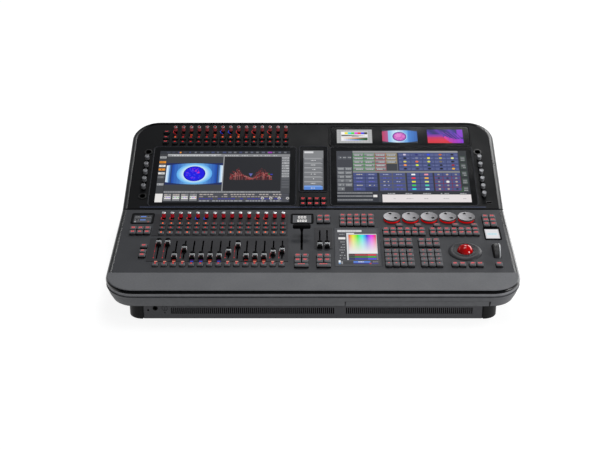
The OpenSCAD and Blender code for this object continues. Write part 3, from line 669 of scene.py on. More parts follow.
def knob_bank(name, node, side, top, lens, teeth=20):
    """Knobs with a dark foot, a gripped side, a bright crown and a sunk middle."""
    foot = 2.0
    shape = Shape(name, node)
    for box in islands(node):
        cx, cy, w, d = plan(box)
        r, t = w / 2, box[1].z
        shape.spin(cx, cy, [(r - 0.2, foot), (r, foot + 0.6), (r, foot + 2.6), (r - 0.5, foot + 3)],
                   key_skirt)
        shape.spin(cx, cy, [(r - 0.5, foot + 3), (r - 0.6, t - 3), (r - 0.7, t - 2.4)], side,
                   steps=40, teeth=teeth, depth=0.35)
        shape.spin(cx, cy, [(r - 0.7, t - 2.4), (r - 0.3, t - 2.2), (r - 0.25, t - 0.7), (r - 0.6, t - 0.15),
                            (r - 1.0, t), (r - 1.7, t), (r - 2.0, t - 0.4)], top)
        shape.spin(cx, cy, [(r - 2.0, t - 0.4), (0.4, t - 0.3)], lens)
    return shape


knob_bank("deck_knobs", "deck_encoders", knob_glow, knob_silver, knob_silver).done(replace=True)
knob_bank("pod_knobs", "pod_encoders", knob_core, side_silver, knob_glow).done(replace=True)
side_caps = knob_bank("side_knob_caps", "side_knobs", side_silver, side_silver, side_silver, teeth=24)
for box in islands("side_knobs"):
    cx, cy, w, d = plan(box)
    hi = box[1]
    side_caps.box((cx - 0.6, cy + 0.6, hi.z - 0.4), (cx + 0.6, hi.y - 1.0, hi.z - 0.05), cap_black)
side_caps.done(replace=True)

# ---------------- faders


def fader_cap(node):
    """Dished front half with an index rib, silver bridge and cheeks, and a domed rear."""
    lo, hi = box = local_box(node)
    cx, cy, w, d = plan(box)
    t, left, right, front, back = hi.z, lo.x, hi.x, lo.y, hi.y
    f = Shape(node + "_cap", node)
    f.box((cx - 1.2, cy - 3.5, lo.z), (cx + 1.2, cy + 3.5, t - 8.5), stem_steel)
    f.pad(left + 0.4, front + 0.6, right - 0.4, cy, t - 9, t - 3.6, cap_matt, 0.5)
    f.pad(cx - 0.45, front + 1.4, cx + 0.45, cy - 1, t - 4, t - 3.1, key_skirt, 0.2)
    f.pad(left + 0.3, front, right - 0.3, front + 1.5, t - 9, t - 3.2, cap_matt, 0.4)
    if "aux" not in node:
        # Red cheeks whose faint glow is painted light.
        for x in (left + 0.8, right - 2.2):
            f.pad(x, front + 0.8, x + 1.4, cy - 2.6, t - 4, t - 3.3, cap_cheek_painted_glow, 0.2)
    f.pad(left + 0.5, cy + 1.4, right - 0.5, back, t - 9, t + 0.9, cap_matt, 2.6)
    f.pad(left, cy - 2.4, right, cy + 2.0, t - 9, t - 0.4, cap_silver, 0.9)
    for x, wide in ((left, 0.8), (right - 1.3, 1.3)):
        f.pad(x, front + 4, x + wide, cy - 1.6, t - 8.6, t - 1.8, cap_silver, 0.25)
    f.box((left + 0.8, cy - 0.5, t - 0.7), (right - 0.8, cy, t - 0.38), key_skirt)
    f.done(replace=True)


def master_handle():
    """A cross handle on a stem that widens upwards."""
    box = local_box("master_fader")
    cx, cy, w, d = plan(box)
    f = Shape("master_handle", "master_fader")
    f.loft([rounded(cx, cy, *ring) for ring in (
        (4.6, 8, 1, box[0].z), (4.6, 8, 1, 6), (5, 8.4, 1.2, 12), (8, 9.4, 2, 20), (14, 10, 3, 22.4))],
        cap_matt, cap_low=True)
    f.loft([rounded(cx, cy, *ring) for ring in (
        (w - 3, d - 3, 3, 21.6), (w - 0.8, d - 0.8, 4, 22.3), (w, d, 4.4, 23.8), (w, d, 4.4, 28.4),
        (w - 0.9, d - 0.9, 4, 29.7), (w - 2.6, d - 2.6, 3, 30.4), (w - 6, d - 5.4, 2, 30.1))],
        cap_matt, cap_low=True)
    f.done(replace=True)


for node in sorted(n for n in nodes if "fader" in n and n != "master_fader"):
    fader_cap(node)
master_handle()

# ---------------- wheels, ball and scroll wheel


def ball_dish():
    """Ring with a raised outer edge, a dished top and four low ribs around the ball."""
    cx, cy, w, d = plan(local_box("trackball_ring"))
    edge = w / 2
    s = Shape("ball_dish", "trackball_ring")
    s.spin(cx, cy, [(19.5, -4), (30.5, -4), (31, -3.4), (31, 0.3), (edge - 0.3, 0.3), (edge, 0.6),
                    (edge - 0.3, 1.3), (edge - 1.6, 2.6), (edge - 3.6, 4.0), (edge - 6, 5.1), (edge - 8, 5.5),
                    (edge - 10, 5.3), (31, 4.6), (28, 3.9), (25, 3.5), (22.6, 3.6), (21, 4.2), (20.2, 4.4),
                    (19.6, 4.0), (19.5, -4)], ring_black, steps=96, cap_high=False)
    for r in (23.6, 25.6, 27.6, 29.6):
        rise = 3.45 + abs(r - 24.5) * 0.13
        s.spin(cx, cy, [(r - 0.35, rise), (r - 0.1, rise + 0.45), (r + 0.1, rise + 0.45), (r + 0.35, rise)],
               ring_black, steps=96, cap_high=False)
    s.done(replace=True)


def ball_skin():
    lo, hi = box = local_box("trackball")
    cx, cy, w, d = plan(box)
    r, level, steps = w / 2, (lo.z + hi.z) / 2, 48
    s = Shape("ball_skin", "trackball")
    turns = [pi * i / steps for i in range(steps + 1)]
    s.spin(cx, cy, [(max(0.02, r * sin(a)), level - r * cos(a)) for a in turns], ball_red, steps=96)
    s.done(replace=True)


def scroll_tyre():
    """Knurled tyre between a dark side and a bright side, turned about the axis across the desk."""
    lo, hi = local_box("scroll_wheel")
    across = Matrix(((0, 0, 1, 0), (1, 0, 0, 0), (0, 1, 0, 0), (0, 0, 0, 1)))
    s = Shape("scroll_tyre", "scroll_wheel", DECK @ Matrix.Translation((lo + hi) / 2) @ across)
    r = (hi.y - lo.y) / 2
    s.spin(0, 0, [(3, -15.5), (3, -8), (r - 6, -8), (r - 5.6, -7.6), (r - 1.6, -7.8), (r - 0.8, -7.2),
                  (r - 0.7, -6.4)], cap_black, steps=96, cap_low=True)
    s.spin(0, 0, [(r - 0.9, -6.4), (r - 0.4, -5.9), (r - 0.1, -5), (r, -4), (r, 3.2), (r - 0.1, 4),
                  (r - 0.9, 4.8)], scroll_rubber, steps=288, teeth=72, depth=0.5)
    s.spin(0, 0, [(r - 0.9, 4.8), (r - 0.1, 5.1), (r + 0.1, 5.7), (r + 0.1, 7.3), (r - 0.5, 8), (r - 3, 8),
                  (r - 3.4, 7.4), (r - 8.4, 7.4), (r - 9, 8), (3, 8), (3, 15.5)], cap_silver, steps=96)
    s.done(replace=True)


for k in range(1, 6):
    refined("encoder_wheel_%d" % k, wheel_silver_painted_light, 0.5, 3, name="wheel_disc_%d" % k)
ball_dish()
ball_skin()
scroll_tyre()

# ---------------- pictures on the displays


def blend(a, b, t):
    return tuple(p + (q - p) * t for p, q in zip(a, b))


def stepped(a, b, t, steps=8):
    return blend(a, b, round(t * steps) / steps)


class Picture(Shape):
    """Lit picture on a display, drawn in shares of its width and height from the lower left.

    Spread widens what lies to the right of the side column and above the lower rows.
    """

    side_column = 0.11
    lower_rows = 0.2

    def __init__(self, name, node, area, ground=None, seed=0, spread=1.0):
        super().__init__(name, node)
        self.area = area
        self.level = local_box(node)[1].z + 0.02
        self.rng = random.Random(seed)
        self.spread = spread
        if ground:
            self.rect(0, 0, 1, 1, ground, 0)

    def at(self, u, v, layer):
        if v > self.lower_rows and u > self.side_column:
            u = min(1, self.side_column + (u - self.side_column) * self.spread)
        x0, s0, x1, s1 = self.area
        return (x0 + (x1 - x0) * u, s0 + (s1 - s0) * v, self.level + 0.03 * layer)

    def poly(self, points, colour, layer=1):
        material = light(*[round(c) for c in colour]) if isinstance(colour, tuple) else colour
        self.add([self.at(u, v, layer) for u, v in points], [range(len(points))], material)

    def rect(self, u0, v0, u1, v1, colour, layer=1):
        self.poly(((u0, v0), (u1, v0), (u1, v1), (u0, v1)), colour, layer)

    def rects(self, *rows):
        for row in rows:
            self.rect(*row)

    def oval(self, u, v, ru, rv, colour, layer=1, steps=28):
        turns = [2 * pi * i / steps for i in range(steps)]
        self.poly([(u + ru * cos(a), v + rv * sin(a)) for a in turns], colour, layer)

    def line(self, points, width, colour, layer=1):
        for (u0, v0), (u1, v1) in zip(points, points[1:]):
            self.poly([(u0, v0 - width), (u1, v1 - width), (u1, v1 + width), (u0, v0 + width)], colour, layer)

    def bits(self, u0, v0, u1, v1, colour, layer=2, wide=0.014, gap=0.006):
        """A line of short marks that stands for writing."""
        u = u0
        while u < u1:
            w = wide * self.rng.uniform(0.5, 1.3)
            if self.rng.random() < 0.82:
                self.rect(u, v0, min(u + w, u1), v1, colour, layer)
            u += w + gap


slate = (58, 61, 66)
grey_light = (172, 174, 177)
paper = (228, 226, 224)
amber = (236, 148, 26)
lit_low, lit_high = 25.0, 218.6

# Left screen, frame and the bars along its top and left edge.
media = Picture("screen_media", "main_screens", (-404.4, lit_low, -60.5, lit_high), (48, 50, 55), 11)
rng = media.rng
media.rect(0, 0.945, 1, 1, (46, 49, 56))
for i in range(22):
    u = 0.05 + i * 0.043
    tint = rng.choice(((92, 96, 112), (66, 74, 110), (110, 112, 118), (60, 64, 78)))
    media.rect(u, 0.955, u + rng.uniform(0.012, 0.03), 0.985, tint, 2)
media.rects((0.15, 0.955, 0.162, 0.982, amber, 3), (0.83, 0.955, 0.862, 0.982, (150, 50, 170), 3),
            (0.06, 0.885, 1, 0.935, (132, 133, 136)), (0.06, 0.91, 0.47, 0.935, grey_light, 2),
            (0, 0.17, 0.055, 0.93, (62, 64, 68)), (0, 0, 0.055, 0.16, paper, 2))
media.bits(0.07, 0.898, 0.45, 0.912, (206, 207, 209), 3)
media.bits(0.5, 0.898, 0.9, 0.912, (190, 191, 194), 3)
for v, tint in ((0.87, grey_light), (0.775, amber), (0.70, paper), (0.63, amber), (0.555, paper),
                (0.48, (112, 114, 118)), (0.34, grey_light)):
    media.rect(0.003, v - 0.02, 0.052, v + 0.018, tint, 2)
    media.bits(0.008, v - 0.006, 0.05, v + 0.006, (24, 25, 28), 3, 0.008, 0.004)

# Left screen, window with a lit eye on a blue field.
media.rects((0.06, 0.21, 0.49, 0.885, slate, 2), (0.06, 0.335, 0.49, 0.755, (24, 40, 92), 3))
eye_u, eye_v = 0.277, 0.545
strips = 40
for i in range(strips):
    u0, u1 = (0.062 + 0.428 * k / strips for k in (i, i + 1))
    t = abs((u0 + u1) / 2 - eye_u) / 0.214
    if t > 0.9:
        tint = stepped((150, 195, 235), (235, 243, 250), (t - 0.9) / 0.1, 4)
    elif t > 0.8:
        tint = stepped((14, 34, 88), (90, 140, 205), (t - 0.8) / 0.1, 4)
    else:
        tint = stepped((150, 215, 245), (22, 74, 170), min(1, t / 0.8), 10)
    tall = 0.205 * sqrt(max(0.05, 1 - (t * 0.62) ** 2))
    media.rect(u0, eye_v - tall, u1, eye_v + tall, tint, 4)
for k in range(9):
    t = k / 8
    tint = stepped((92, 172, 236), (214, 240, 250), t)
    media.oval(eye_u, eye_v, 0.135 - 0.052 * t, 0.20 - 0.052 * t, tint, 5 + k * 0.2)
for k, tint in enumerate(((24, 14, 150), (20, 10, 190), (16, 8, 205), (18, 14, 222))):
    media.oval(eye_u, eye_v, 0.084 - 0.004 * k, 0.148 - 0.006 * k, tint, 7 + k * 0.3)
for i in range(40):
    a = rng.uniform(0, 2 * pi)
    q = sqrt(rng.random()) * 0.92
    u, v = eye_u + 0.068 * q * cos(a), eye_v + 0.12 * q * sin(a)
    tint = rng.choice(((60, 60, 236), (84, 60, 240), (44, 70, 236), (110, 40, 220)))
    if u + v * 0.6 > eye_u + eye_v * 0.6 + 0.03:
        tint = rng.choice(((206, 40, 170), (170, 34, 190), tint))
    grow = 1.8 if i % 9 == 0 else 1
    media.poly([(u + grow * rng.uniform(0.002, 0.009) * cos(b), v + grow * rng.uniform(0.004, 0.014) * sin(b))
                for b in [2 * pi * j / 6 for j in range(6)]], tint, 9)

# Left screen, window with curves.
media.rects((0.49, 0.21, 0.498, 0.93, (146, 147, 150), 3), (0.498, 0.21, 0.932, 0.885, (34, 35, 40), 2))
hills = ((0.56, 0.012, 0.55), (0.585, 0.014, 0.8), (0.615, 0.02, 1.0), (0.655, 0.03, 0.5),
         (0.765, 0.025, 0.75), (0.795, 0.016, 0.95), (0.825, 0.014, 1.0), (0.85, 0.01, 0.5))


def peaks(u, k):
    return sum(a * (1 - k * 0.1) * 2.718 ** (-((u - c - 0.004 * (k - 3)) / w) ** 2) for c, w, a in hills)


for k in range(8):
    points = []
    for i in range(46):
        u = 0.545 + 0.32 * i / 45
        points.append((u, 0.43 + 0.004 * k + 0.235 * peaks(u, k) * (0.55 + 0.45 * rng.random())))
    tint = ((148, 34, 40), (176, 60, 62), (120, 26, 32), (186, 132, 126))[k % 4]
    media.line(points, 0.0028, tint, 3 + k * 0.3)
for i in range(44):
    u = 0.55 + 0.31 * i / 44
    top = 0.43 + 0.235 * peaks(u, 2) * rng.uniform(0.5, 0.95)
    media.poly([(u - 0.0012, 0.425), (u + 0.0012, 0.425), (u + 0.0012 + rng.uniform(-0.01, 0.01), top),
                (u - 0.0012, top)], rng.choice(((130, 28, 34), (96, 22, 28), (160, 92, 90))), 6)
media.poly([(0.69, 0.55), (0.72, 0.55), (0.705, 0.49)], (96, 100, 170), 7)
media.rects((0.835, 0.53, 0.85, 0.545, (50, 120, 60), 7), (0.853, 0.525, 0.87, 0.54, (60, 60, 190), 7))

# Left screen, list on the right and controls along the bottom.
media.rect(0.932, 0.17, 1, 0.885, (70, 72, 77), 2)
for i in range(12):
    v = 0.86 - i * 0.052
    media.rect(0.94, v - 0.018, 0.994, v + 0.018, grey_light if i < 8 else (88, 90, 95), 3)
    if i < 8:
        media.bits(0.946, v - 0.005, 0.988, v + 0.005, slate, 4, 0.01, 0.004)
media.rect(0.06, 0.175, 0.932, 0.21, (140, 141, 145), 3)
media.bits(0.07, 0.186, 0.92, 0.198, (96, 98, 104), 4)
for i in range(4):
    u = 0.064 + i * 0.064
    media.rects((u, 0.025, u + 0.056, 0.16, (122, 124, 128), 3), (u + 0.004, 0.06, u + 0.052, 0.11, paper, 4))
    for j in range(4):
        tint = rng.choice(((200, 90, 100), (70, 160, 90), (120, 90, 190), (60, 60, 64)))
        media.rect(u + 0.006 + j * 0.012, 0.078, u + 0.014 + j * 0.012, 0.096, tint, 5)
    media.bits(u + 0.004, 0.13, u + 0.05, 0.145, (206, 190, 180), 4, 0.01, 0.003)
for v, tint in ((0.145, (176, 168, 164)), (0.105, (150, 142, 140)), (0.065, (58, 58, 150)),
                (0.025, (150, 152, 158))):
    media.bits(0.33, v - 0.01, 0.94, v + 0.01, tint, 4, 0.022, 0.006)
    media.rect(0.32, v - 0.018, 0.995, v + 0.018, (74, 76, 84), 3)
for i in range(4):
    media.oval(0.80 + i * 0.062, 0.075, 0.012, 0.022, paper, 5, 12)
    media.oval(0.80 + i * 0.062, 0.075, 0.008, 0.014, (84, 86, 92), 5.5, 12)
media.done()

# Right screen, buttons on the left.
desk = Picture("screen_palettes", "main_screens", (61.9, lit_low, 405, lit_high), (46, 49, 56), 23, 1.04)
rng = desk.rng
cell_blue = (70, 80, 128)
cell_blue_dark = (50, 58, 98)
desk.rect(0, 0.2, 0.12, 1, (62, 64, 71))
for i in range(3):
    u = 0.01 + i * 0.037
    desk.rect(u, 0.83, u + 0.03, 0.9, (80, 83, 90), 2)
    desk.bits(u + 0.004, 0.86, u + 0.028, 0.875, grey_light, 3, 0.008, 0.003)
for k in range(11):
    u, v = 0.006 + k % 2 * 0.057, 0.64 - k // 2 * 0.078
    desk.rects((u, v - 0.03, u + 0.053, v + 0.03, (104, 107, 112), 2),
               (u, v + 0.012, u + 0.053, v + 0.03, (134, 137, 141), 2.5))
    desk.bits(u + 0.008, v - 0.008, u + 0.046, v + 0.006, (190, 192, 194), 3, 0.009, 0.003)

# Right screen, grid of groups with coloured outlines.
desk.rects((0.124, 0.6, 0.455, 1, (96, 98, 102)), (0.124, 0.965, 0.905, 1, (148, 149, 151), 2))
for i, outline in enumerate(((62, 150, 70), (62, 150, 70), (176, 44, 52), (176, 148, 60))):
    for j in range(5):
        u, v = 0.126 + i * 0.081, 0.888 - j * 0.07
        if i == 3 and j >= 3:
            desk.rect(u + 0.002, v - 0.003, u + 0.08, v + 0.067, slate, 2)
            continue
        desk.rects((u, v, u + 0.08, v + 0.067, outline, 2),
                   (u + 0.0025, v + 0.005, u + 0.0775, v + 0.062, (112, 114, 118), 3),
                   (u + 0.0025, v + 0.038, u + 0.0775, v + 0.062, (146, 148, 151), 3.5))
        desk.bits(u + 0.012, v + 0.02, u + 0.07, v + 0.034, (206, 208, 210), 4, 0.01, 0.003)

# Right screen, grid of dots.
desk.rect(0.46, 0.6, 0.905, 0.965, cell_blue_dark, 2)
dots = [(200, 190, 210), (40, 40, 110), (40, 70, 220), (190, 100, 40), (14, 14, 18),
        (16, 16, 20), (120, 124, 150), (226, 212, 70), (186, 170, 60), (224, 226, 140),
        (206, 196, 90), (232, 110, 50), (206, 206, 84), (120, 110, 90), (20, 20, 26),
        (244, 150, 70), (206, 232, 60), (12, 60, 24), (28, 28, 34), (150, 24, 30),
        (30, 34, 40), (60, 60, 66), (20, 20, 24), (12, 12, 16), (232, 176, 40)]
for k, dot in enumerate(dots):
    u, v = 0.464 + k % 5 * 0.088, 0.895 - k // 5 * 0.07
    desk.rect(u, v, u + 0.085, v + 0.062, cell_blue, 3)
    desk.oval(u + 0.045, v + 0.03, 0.012, 0.018, dot, 4, 10)
    for u0, u1 in ((u + 0.004, u + 0.03), (u + 0.062, u + 0.084)):
        desk.bits(u0, v + 0.018, u1, v + 0.028, (126, 134, 176), 4, 0.006, 0.003)

# Right screen, four windows of cells: marks, framed marks, colours and gobos.
windows = ((0.124, 0.30), (0.315, 0.505), (0.515, 0.705), (0.715, 0.905))
swatches = [(245, 245, 245), (238, 150, 160), (232, 40, 48), (240, 176, 50), (226, 222, 40),
            (214, 226, 120), (60, 200, 70), (70, 206, 170), (30, 214, 220), (170, 226, 232)]
desk.rect(0.124, 0.565, 0.905, 0.6, (128, 129, 132), 2)
for w, (u0, u1) in enumerate(windows):
    columns = 3 if w == 3 else 2
    wide = (u1 - u0) / columns
    desk.rect(u0, 0.21, u1, 0.565, cell_blue_dark, 2)
    for k in range(5 * columns):
        j, i = divmod(k, columns)
        if w == 0 and k == 9:
            continue
        u, v = u0 + i * wide, 0.498 - j * 0.07
        cu, cv = u + wide / 2, v + 0.032
        border = (104, 98, 70) if w == 1 else (128, 34, 52) if w == 3 and j else None
        if border:
            desk.rect(u, v, u + wide - 0.001, v + 0.066, border, 3)
        desk.rect(u + 0.0015, v + 0.004, u + wide - 0.003, v + 0.062, cell_blue, 4)
        if w == 2:
            desk.rect(cu - 0.014, cv - 0.014, cu + 0.014, cv + 0.014, swatches[k], 5)
        elif w == 3 and (j, i) == (2, 1):
            desk.oval(cu, cv, 0.013, 0.022, paper, 5, 10)
        elif w == 3:
            tint = rng.choice(((150, 146, 140), (34, 36, 50), (190, 170, 150)))
            desk.oval(cu, cv, 0.009, 0.014, tint, 5, 10)
        else:
            tint = rng.choice(((170, 176, 206), (96, 96, 200), (196, 190, 170)))
            desk.bits(cu - 0.02, cv - 0.006, cu + 0.022, cv + 0.008, tint, 5, 0.012, 0.004)

# Right screen, column on the right and lines along the bottom.
desk.rect(0.908, 0.21, 1, 1, (44, 48, 52), 2)
for i in range(5):
    v = 0.84 - i * 0.148
    desk.rects((0.916, v - 0.05, 0.955, v + 0.055, (52, 84, 62), 3),
               (0.918, v - 0.045, 0.953, v + 0.05, (70, 74, 76), 4),
               (0.922, v - 0.005, 0.95, v + 0.03, (120, 124, 126), 5))
    desk.bits(0.922, v - 0.034, 0.95, v - 0.02, grey_light, 5, 0.008, 0.003)
for v in (0.175, 0.115, 0.045):
    desk.rect(0.002, v - 0.014, 0.265, v + 0.014, (128, 130, 134), 2)
    desk.bits(0.01, v - 0.004, 0.25, v + 0.004, (84, 86, 92), 3)
desk.rects((0.27, 0.095, 0.3, 0.14, paper, 3), (0.31, 0.005, 0.33, 0.16, slate, 3),
           (0.338, 0.0, 1, 0.145, (226, 220, 221), 3))
for i in range(5):
    u = 0.38 + i * 0.132
    desk.bits(u, 0.155, u + 0.06, 0.172, grey_light, 3, 0.012, 0.004)
    desk.bits(u + 0.005, 0.06, u + 0.055, 0.075, (176, 172, 174), 4, 0.01, 0.004)
desk.done()

# Tall middle screen: a list of tabs with one picked out.
listing = Picture("screen_list", "centre_screen", (-25.5, 72, 27.5, 220), (96, 98, 102), 31)
listing.rects((0, 0.8, 1, 1, (128, 130, 133), 1), (0.05, 0.93, 0.5, 0.98, (210, 211, 213), 2))
for i in range(7):
    v = 0.75 - i * 0.118
    body, top = ((118, 120, 124), (150, 152, 155)) if i < 6 else ((86, 132, 206), (120, 160, 224))
    for low, colour, layer in ((v - 0.05, body, 2), (v + 0.02, top, 2.5)):
        listing.poly([(0.05, low), (0.95, low), (0.95, v + 0.035), (0.85, v + 0.055), (0.05, v + 0.055)],
                     colour, layer)
    listing.bits(0.38, v - 0.02, 0.62, v, (214, 215, 217), 3, 0.06, 0.03)
listing.done()

# Left preview: a test card.
card = Picture("preview_card", "preview_screens", (64, 250, 158.5, 304), (176, 177, 178))
for i in range(1, 12):
    card.rect(i / 12 - 0.003, 0, i / 12 + 0.003, 1, (150, 151, 153), 1)
for i in range(1, 7):
    card.rect(0, i / 7 - 0.006, 1, i / 7 + 0.006, (150, 151, 153), 1)
card.rects((0.12, 0.15, 0.88, 0.85, (222, 222, 222), 2), (0.42, 0.45, 0.62, 0.5, (150, 150, 152), 3))
for i, colour in enumerate(((250, 250, 250), (240, 226, 40), (40, 214, 226), (50, 214, 50),
                            (224, 60, 214), (226, 40, 46), (50, 50, 226), (22, 22, 24))):
    card.rect(0.13 + i * 0.0925, 0.66, 0.2225 + i * 0.0925, 0.8, colour, 3)
for i in range(12):
    t = i / 11
    warm = blend((240, 240, 240), (226, 96, 40), min(1, t * 1.6))
    cool = blend((236, 236, 244), (40, 60, 190), min(1, t * 1.4))
    if t >= 0.6:
        warm = blend((226, 96, 40), (30, 26, 24), (t - 0.6) / 0.4)
    if t >= 0.7:
        cool = blend((40, 120, 150), (20, 24, 26), (t - 0.7) / 0.3)
    green = blend((240, 240, 240), (40, 120, 60), t)
    grey = (40 + i * 18,) * 3
    for low, high, colour in ((0.52, 0.6, grey), (0.33, 0.4, warm), (0.26, 0.33, green), (0.19, 0.26, cool)):
        card.rect(0.13 + i * 0.0617, low, 0.1917 + i * 0.0617, high, colour, 3)
card.done()

# Middle preview: a pink orb on blue.
orb = Picture("preview_orb", "preview_screens", (185.8, 250, 280, 304), (40, 46, 58))
for i in range(30):
    u = (i + 0.5) / 30
    tall = 0.46 * sqrt(max(0, 1 - ((u - 0.5) / 0.78) ** 2))
    if u < 0.16:
        tint = stepped((188, 60, 100), (170, 84, 140), u / 0.16, 4)
    elif u < 0.42:
        tint = stepped((120, 180, 226), (216, 236, 248), (u - 0.16) / 0.26, 6)
    elif u < 0.72:
        tint = stepped((216, 236, 248), (96, 160, 224), (u - 0.42) / 0.3, 6)
    else:
        tint = stepped((70, 130, 206), (44, 96, 172), (u - 0.72) / 0.28, 4)
    orb.rect(i / 30, 0.5 - tall, (i + 1) / 30, 0.5 + tall, tint)
for row in ((0.49, 0.48, 0.215, 0.37, (206, 226, 246), 2), (0.49, 0.48, 0.2, 0.345, (46, 44, 140), 3),
            (0.49, 0.48, 0.175, 0.3, (180, 70, 176), 4), (0.48, 0.5, 0.14, 0.24, (202, 92, 190), 5),
            (0.46, 0.55, 0.08, 0.13, (220, 130, 205), 6)):
    orb.oval(*row)
spike = ((0.15, 0.25, 0), (0.16, 0.27, 0.12), (0.06, 0.1, 0.4))
for i in range(14):
    a = i * 2.4
    orb.poly([(0.49 + ru * cos(a + turn), 0.48 + rv * sin(a + turn)) for ru, rv, turn in spike],
             (228, 150, 200), 7)
orb.done()

# Right preview: violet and red waves.
wave = Picture("preview_wave", "preview_screens", (307, 250, 402.5, 304))
columns, rows = 30, 14
for i in range(columns):
    for j in range(rows):
        u, v = (i + 0.5) / columns, (j + 0.5) / rows
        ridge = 0.44 - 0.55 * (u - 0.35) + 0.08 * sin(7 * u)
        if v < 0.42 and u < 0.62 - 0.5 * (v - 0.1):
            c = blend((214, 44, 48), (196, 40, 90), min(1, v / 0.42))
        elif v < ridge + 0.16 and u > 0.45:
            c = blend((206, 50, 150), (110, 40, 220), min(1, max(0, (u - 0.5) * 1.6)))
        elif u > 0.82 and v > 0.45:
            c = (132, 44, 196)
        elif v < 0.62 and u < 0.45:
            c = blend((180, 40, 130), (96, 40, 170), min(1, (v - 0.42) * 4))
        else:
            c = blend((92, 44, 178), (30, 28, 104), min(1, abs(sin(9 * u + 4 * v))))
        c = tuple(round(x / 14) * 14 for x in c)
        wave.rect(i / columns, j / rows, (i + 1) / columns, (j + 1) / rows, c)
for i in range(9):
    u, top, slip = 0.4 + 0.06 * i, 0.85 - 0.02 * i, 0.3 - 0.02 * i
    wave.poly([(u, top), (u + 0.014, top), (u + slip, 0.3), (u + slip - 0.02, 0.3)],
              (26, 24, 96) if i % 2 else (150, 50, 214), 2 + i * 0.1)
wave.done()

# Touch display: a colour chooser.
touch_area = (59, -261.5, 156.5, -98.7)
touch = Picture("touch_picture", "touch_display", touch_area, (74, 75, 79), 41)
touch.rects((0, 0.9, 1, 1, (84, 85, 89), 1), (0.01, 0.915, 0.62, 0.975, (206, 206, 208), 2),
            (0.03, 0.705, 0.205, 0.765, paper, 2), (0.235, 0.86, 0.43, 0.89, (222, 222, 224), 3),
            (0.43, 0.855, 0.98, 0.88, (96, 97, 101), 2), (0.235, 0.3, 0.99, 0.86, (196, 197, 200), 2),
            (0.235, 0.13, 0.99, 0.3, (112, 113, 117), 2), (0.235, 0.13, 0.262, 0.86, (226, 226, 228), 3),
            (0.02, 0.02, 0.07, 0.12, (226, 232, 240), 2), (0.02, 0.02, 0.07, 0.06, (110, 146, 190), 2.5),
            (0.085, 0.02, 0.12, 0.09, (150, 152, 156), 2), (0.13, 0.015, 0.38, 0.09, (62, 63, 66), 2),
            (0.38, 0.055, 0.79, 0.1, (86, 128, 216), 2), (0.38, 0.025, 0.79, 0.045, (54, 52, 138), 2),
            (0.82, 0.025, 0.98, 0.055, (70, 66, 140), 2), (0.77, 0.02, 0.81, 0.05, (206, 56, 64), 3))
touch.bits(0.1, 0.938, 0.5, 0.952, (150, 150, 153), 3, 0.04, 0.02)
for v in (0.85, 0.63, 0.555, 0.48, 0.405, 0.33, 0.255, 0.18):
    touch.rect(0.03, v - 0.024, 0.205, v + 0.024, (66, 67, 71), 2)
    touch.bits(0.05, v - 0.008, 0.19, v + 0.01, (168, 169, 172), 3, 0.03, 0.012)
for v, dark, lit, bright in ((0.268, (70, 18, 22), (184, 40, 46), (238, 60, 70)),
                             (0.213, (18, 60, 26), (46, 132, 52), (64, 186, 70)),
                             (0.158, (22, 22, 90), (44, 44, 178), (84, 76, 246))):
    touch.rects((0.28, v - 0.02, 0.95, v + 0.02, dark, 3), (0.42, v - 0.014, 0.95, v + 0.014, lit, 4),
                (0.74, v - 0.014, 0.94, v + 0.014, bright, 5))
touch.bits(0.5, 0.07, 0.72, 0.088, paper, 3, 0.04, 0.01)
touch.bits(0.82, 0.07, 0.98, 0.088, (150, 150, 156), 3, 0.03, 0.012)
touch.done()


def hue_field():
    """All hues across, fading to white downwards."""
    material, tree, shader = new_material("hue_field", Base_Color=(0.01, 0.01, 0.01, 1), Roughness=0.12,
                                          Emission_Strength=1)
    split = add_node(tree, "SeparateXYZ")
    tree.links.new(add_node(tree, "TexCoord").outputs["Generated"], split.inputs["Vector"])
    pick = add_node(tree, "CombineColor")
    pick.mode = "HSV"
    brightness = pick.inputs[2]
    brightness.default_value = 0.8
    fade = add_node(tree, "MapRange", From_Min=0.05, From_Max=0.95, To_Min=0.0, To_Max=0.985)
    tree.links.new(split.outputs["X"], pick.inputs[0])
    tree.links.new(split.outputs["Y"], fade.inputs["Value"])
    tree.links.new(fade.outputs["Result"], pick.inputs[1])
    tree.links.new(pick.outputs["Color"], shader.inputs["Emission Color"])
    return material


field = Picture("touch_hue", "touch_display", touch_area)
field.rect(0.285, 0.315, 0.975, 0.835, hue_field(), 4)
field.done()

# Status displays: a read-out on the left, blocks over the master fader and a pale one on the right.
readout = Picture("status_left", "status_displays", (-448, -67.3, -403.8, -32), (66, 67, 70), 43)
for v in (0.76, 0.3):
    readout.rects((0.03, v - 0.17, 0.97, v + 0.17, (48, 49, 52), 1),
                  (0.36, v + 0.02, 0.68, v + 0.12, (104, 140, 224), 2),
                  (0.04, v - 0.12, 0.96, v - 0.06, (120, 121, 124), 2))
    readout.bits(0.06, v + 0.03, 0.32, v + 0.1, (150, 151, 154), 2, 0.06, 0.03)
    readout.bits(0.72, v + 0.03, 0.94, v + 0.1, (110, 111, 114), 2, 0.06, 0.03)
readout.rects((0.8, 0.06, 0.88, 0.16, (170, 76, 64), 3), (0.06, 0.06, 0.14, 0.16, (170, 171, 174), 3))
readout.done()

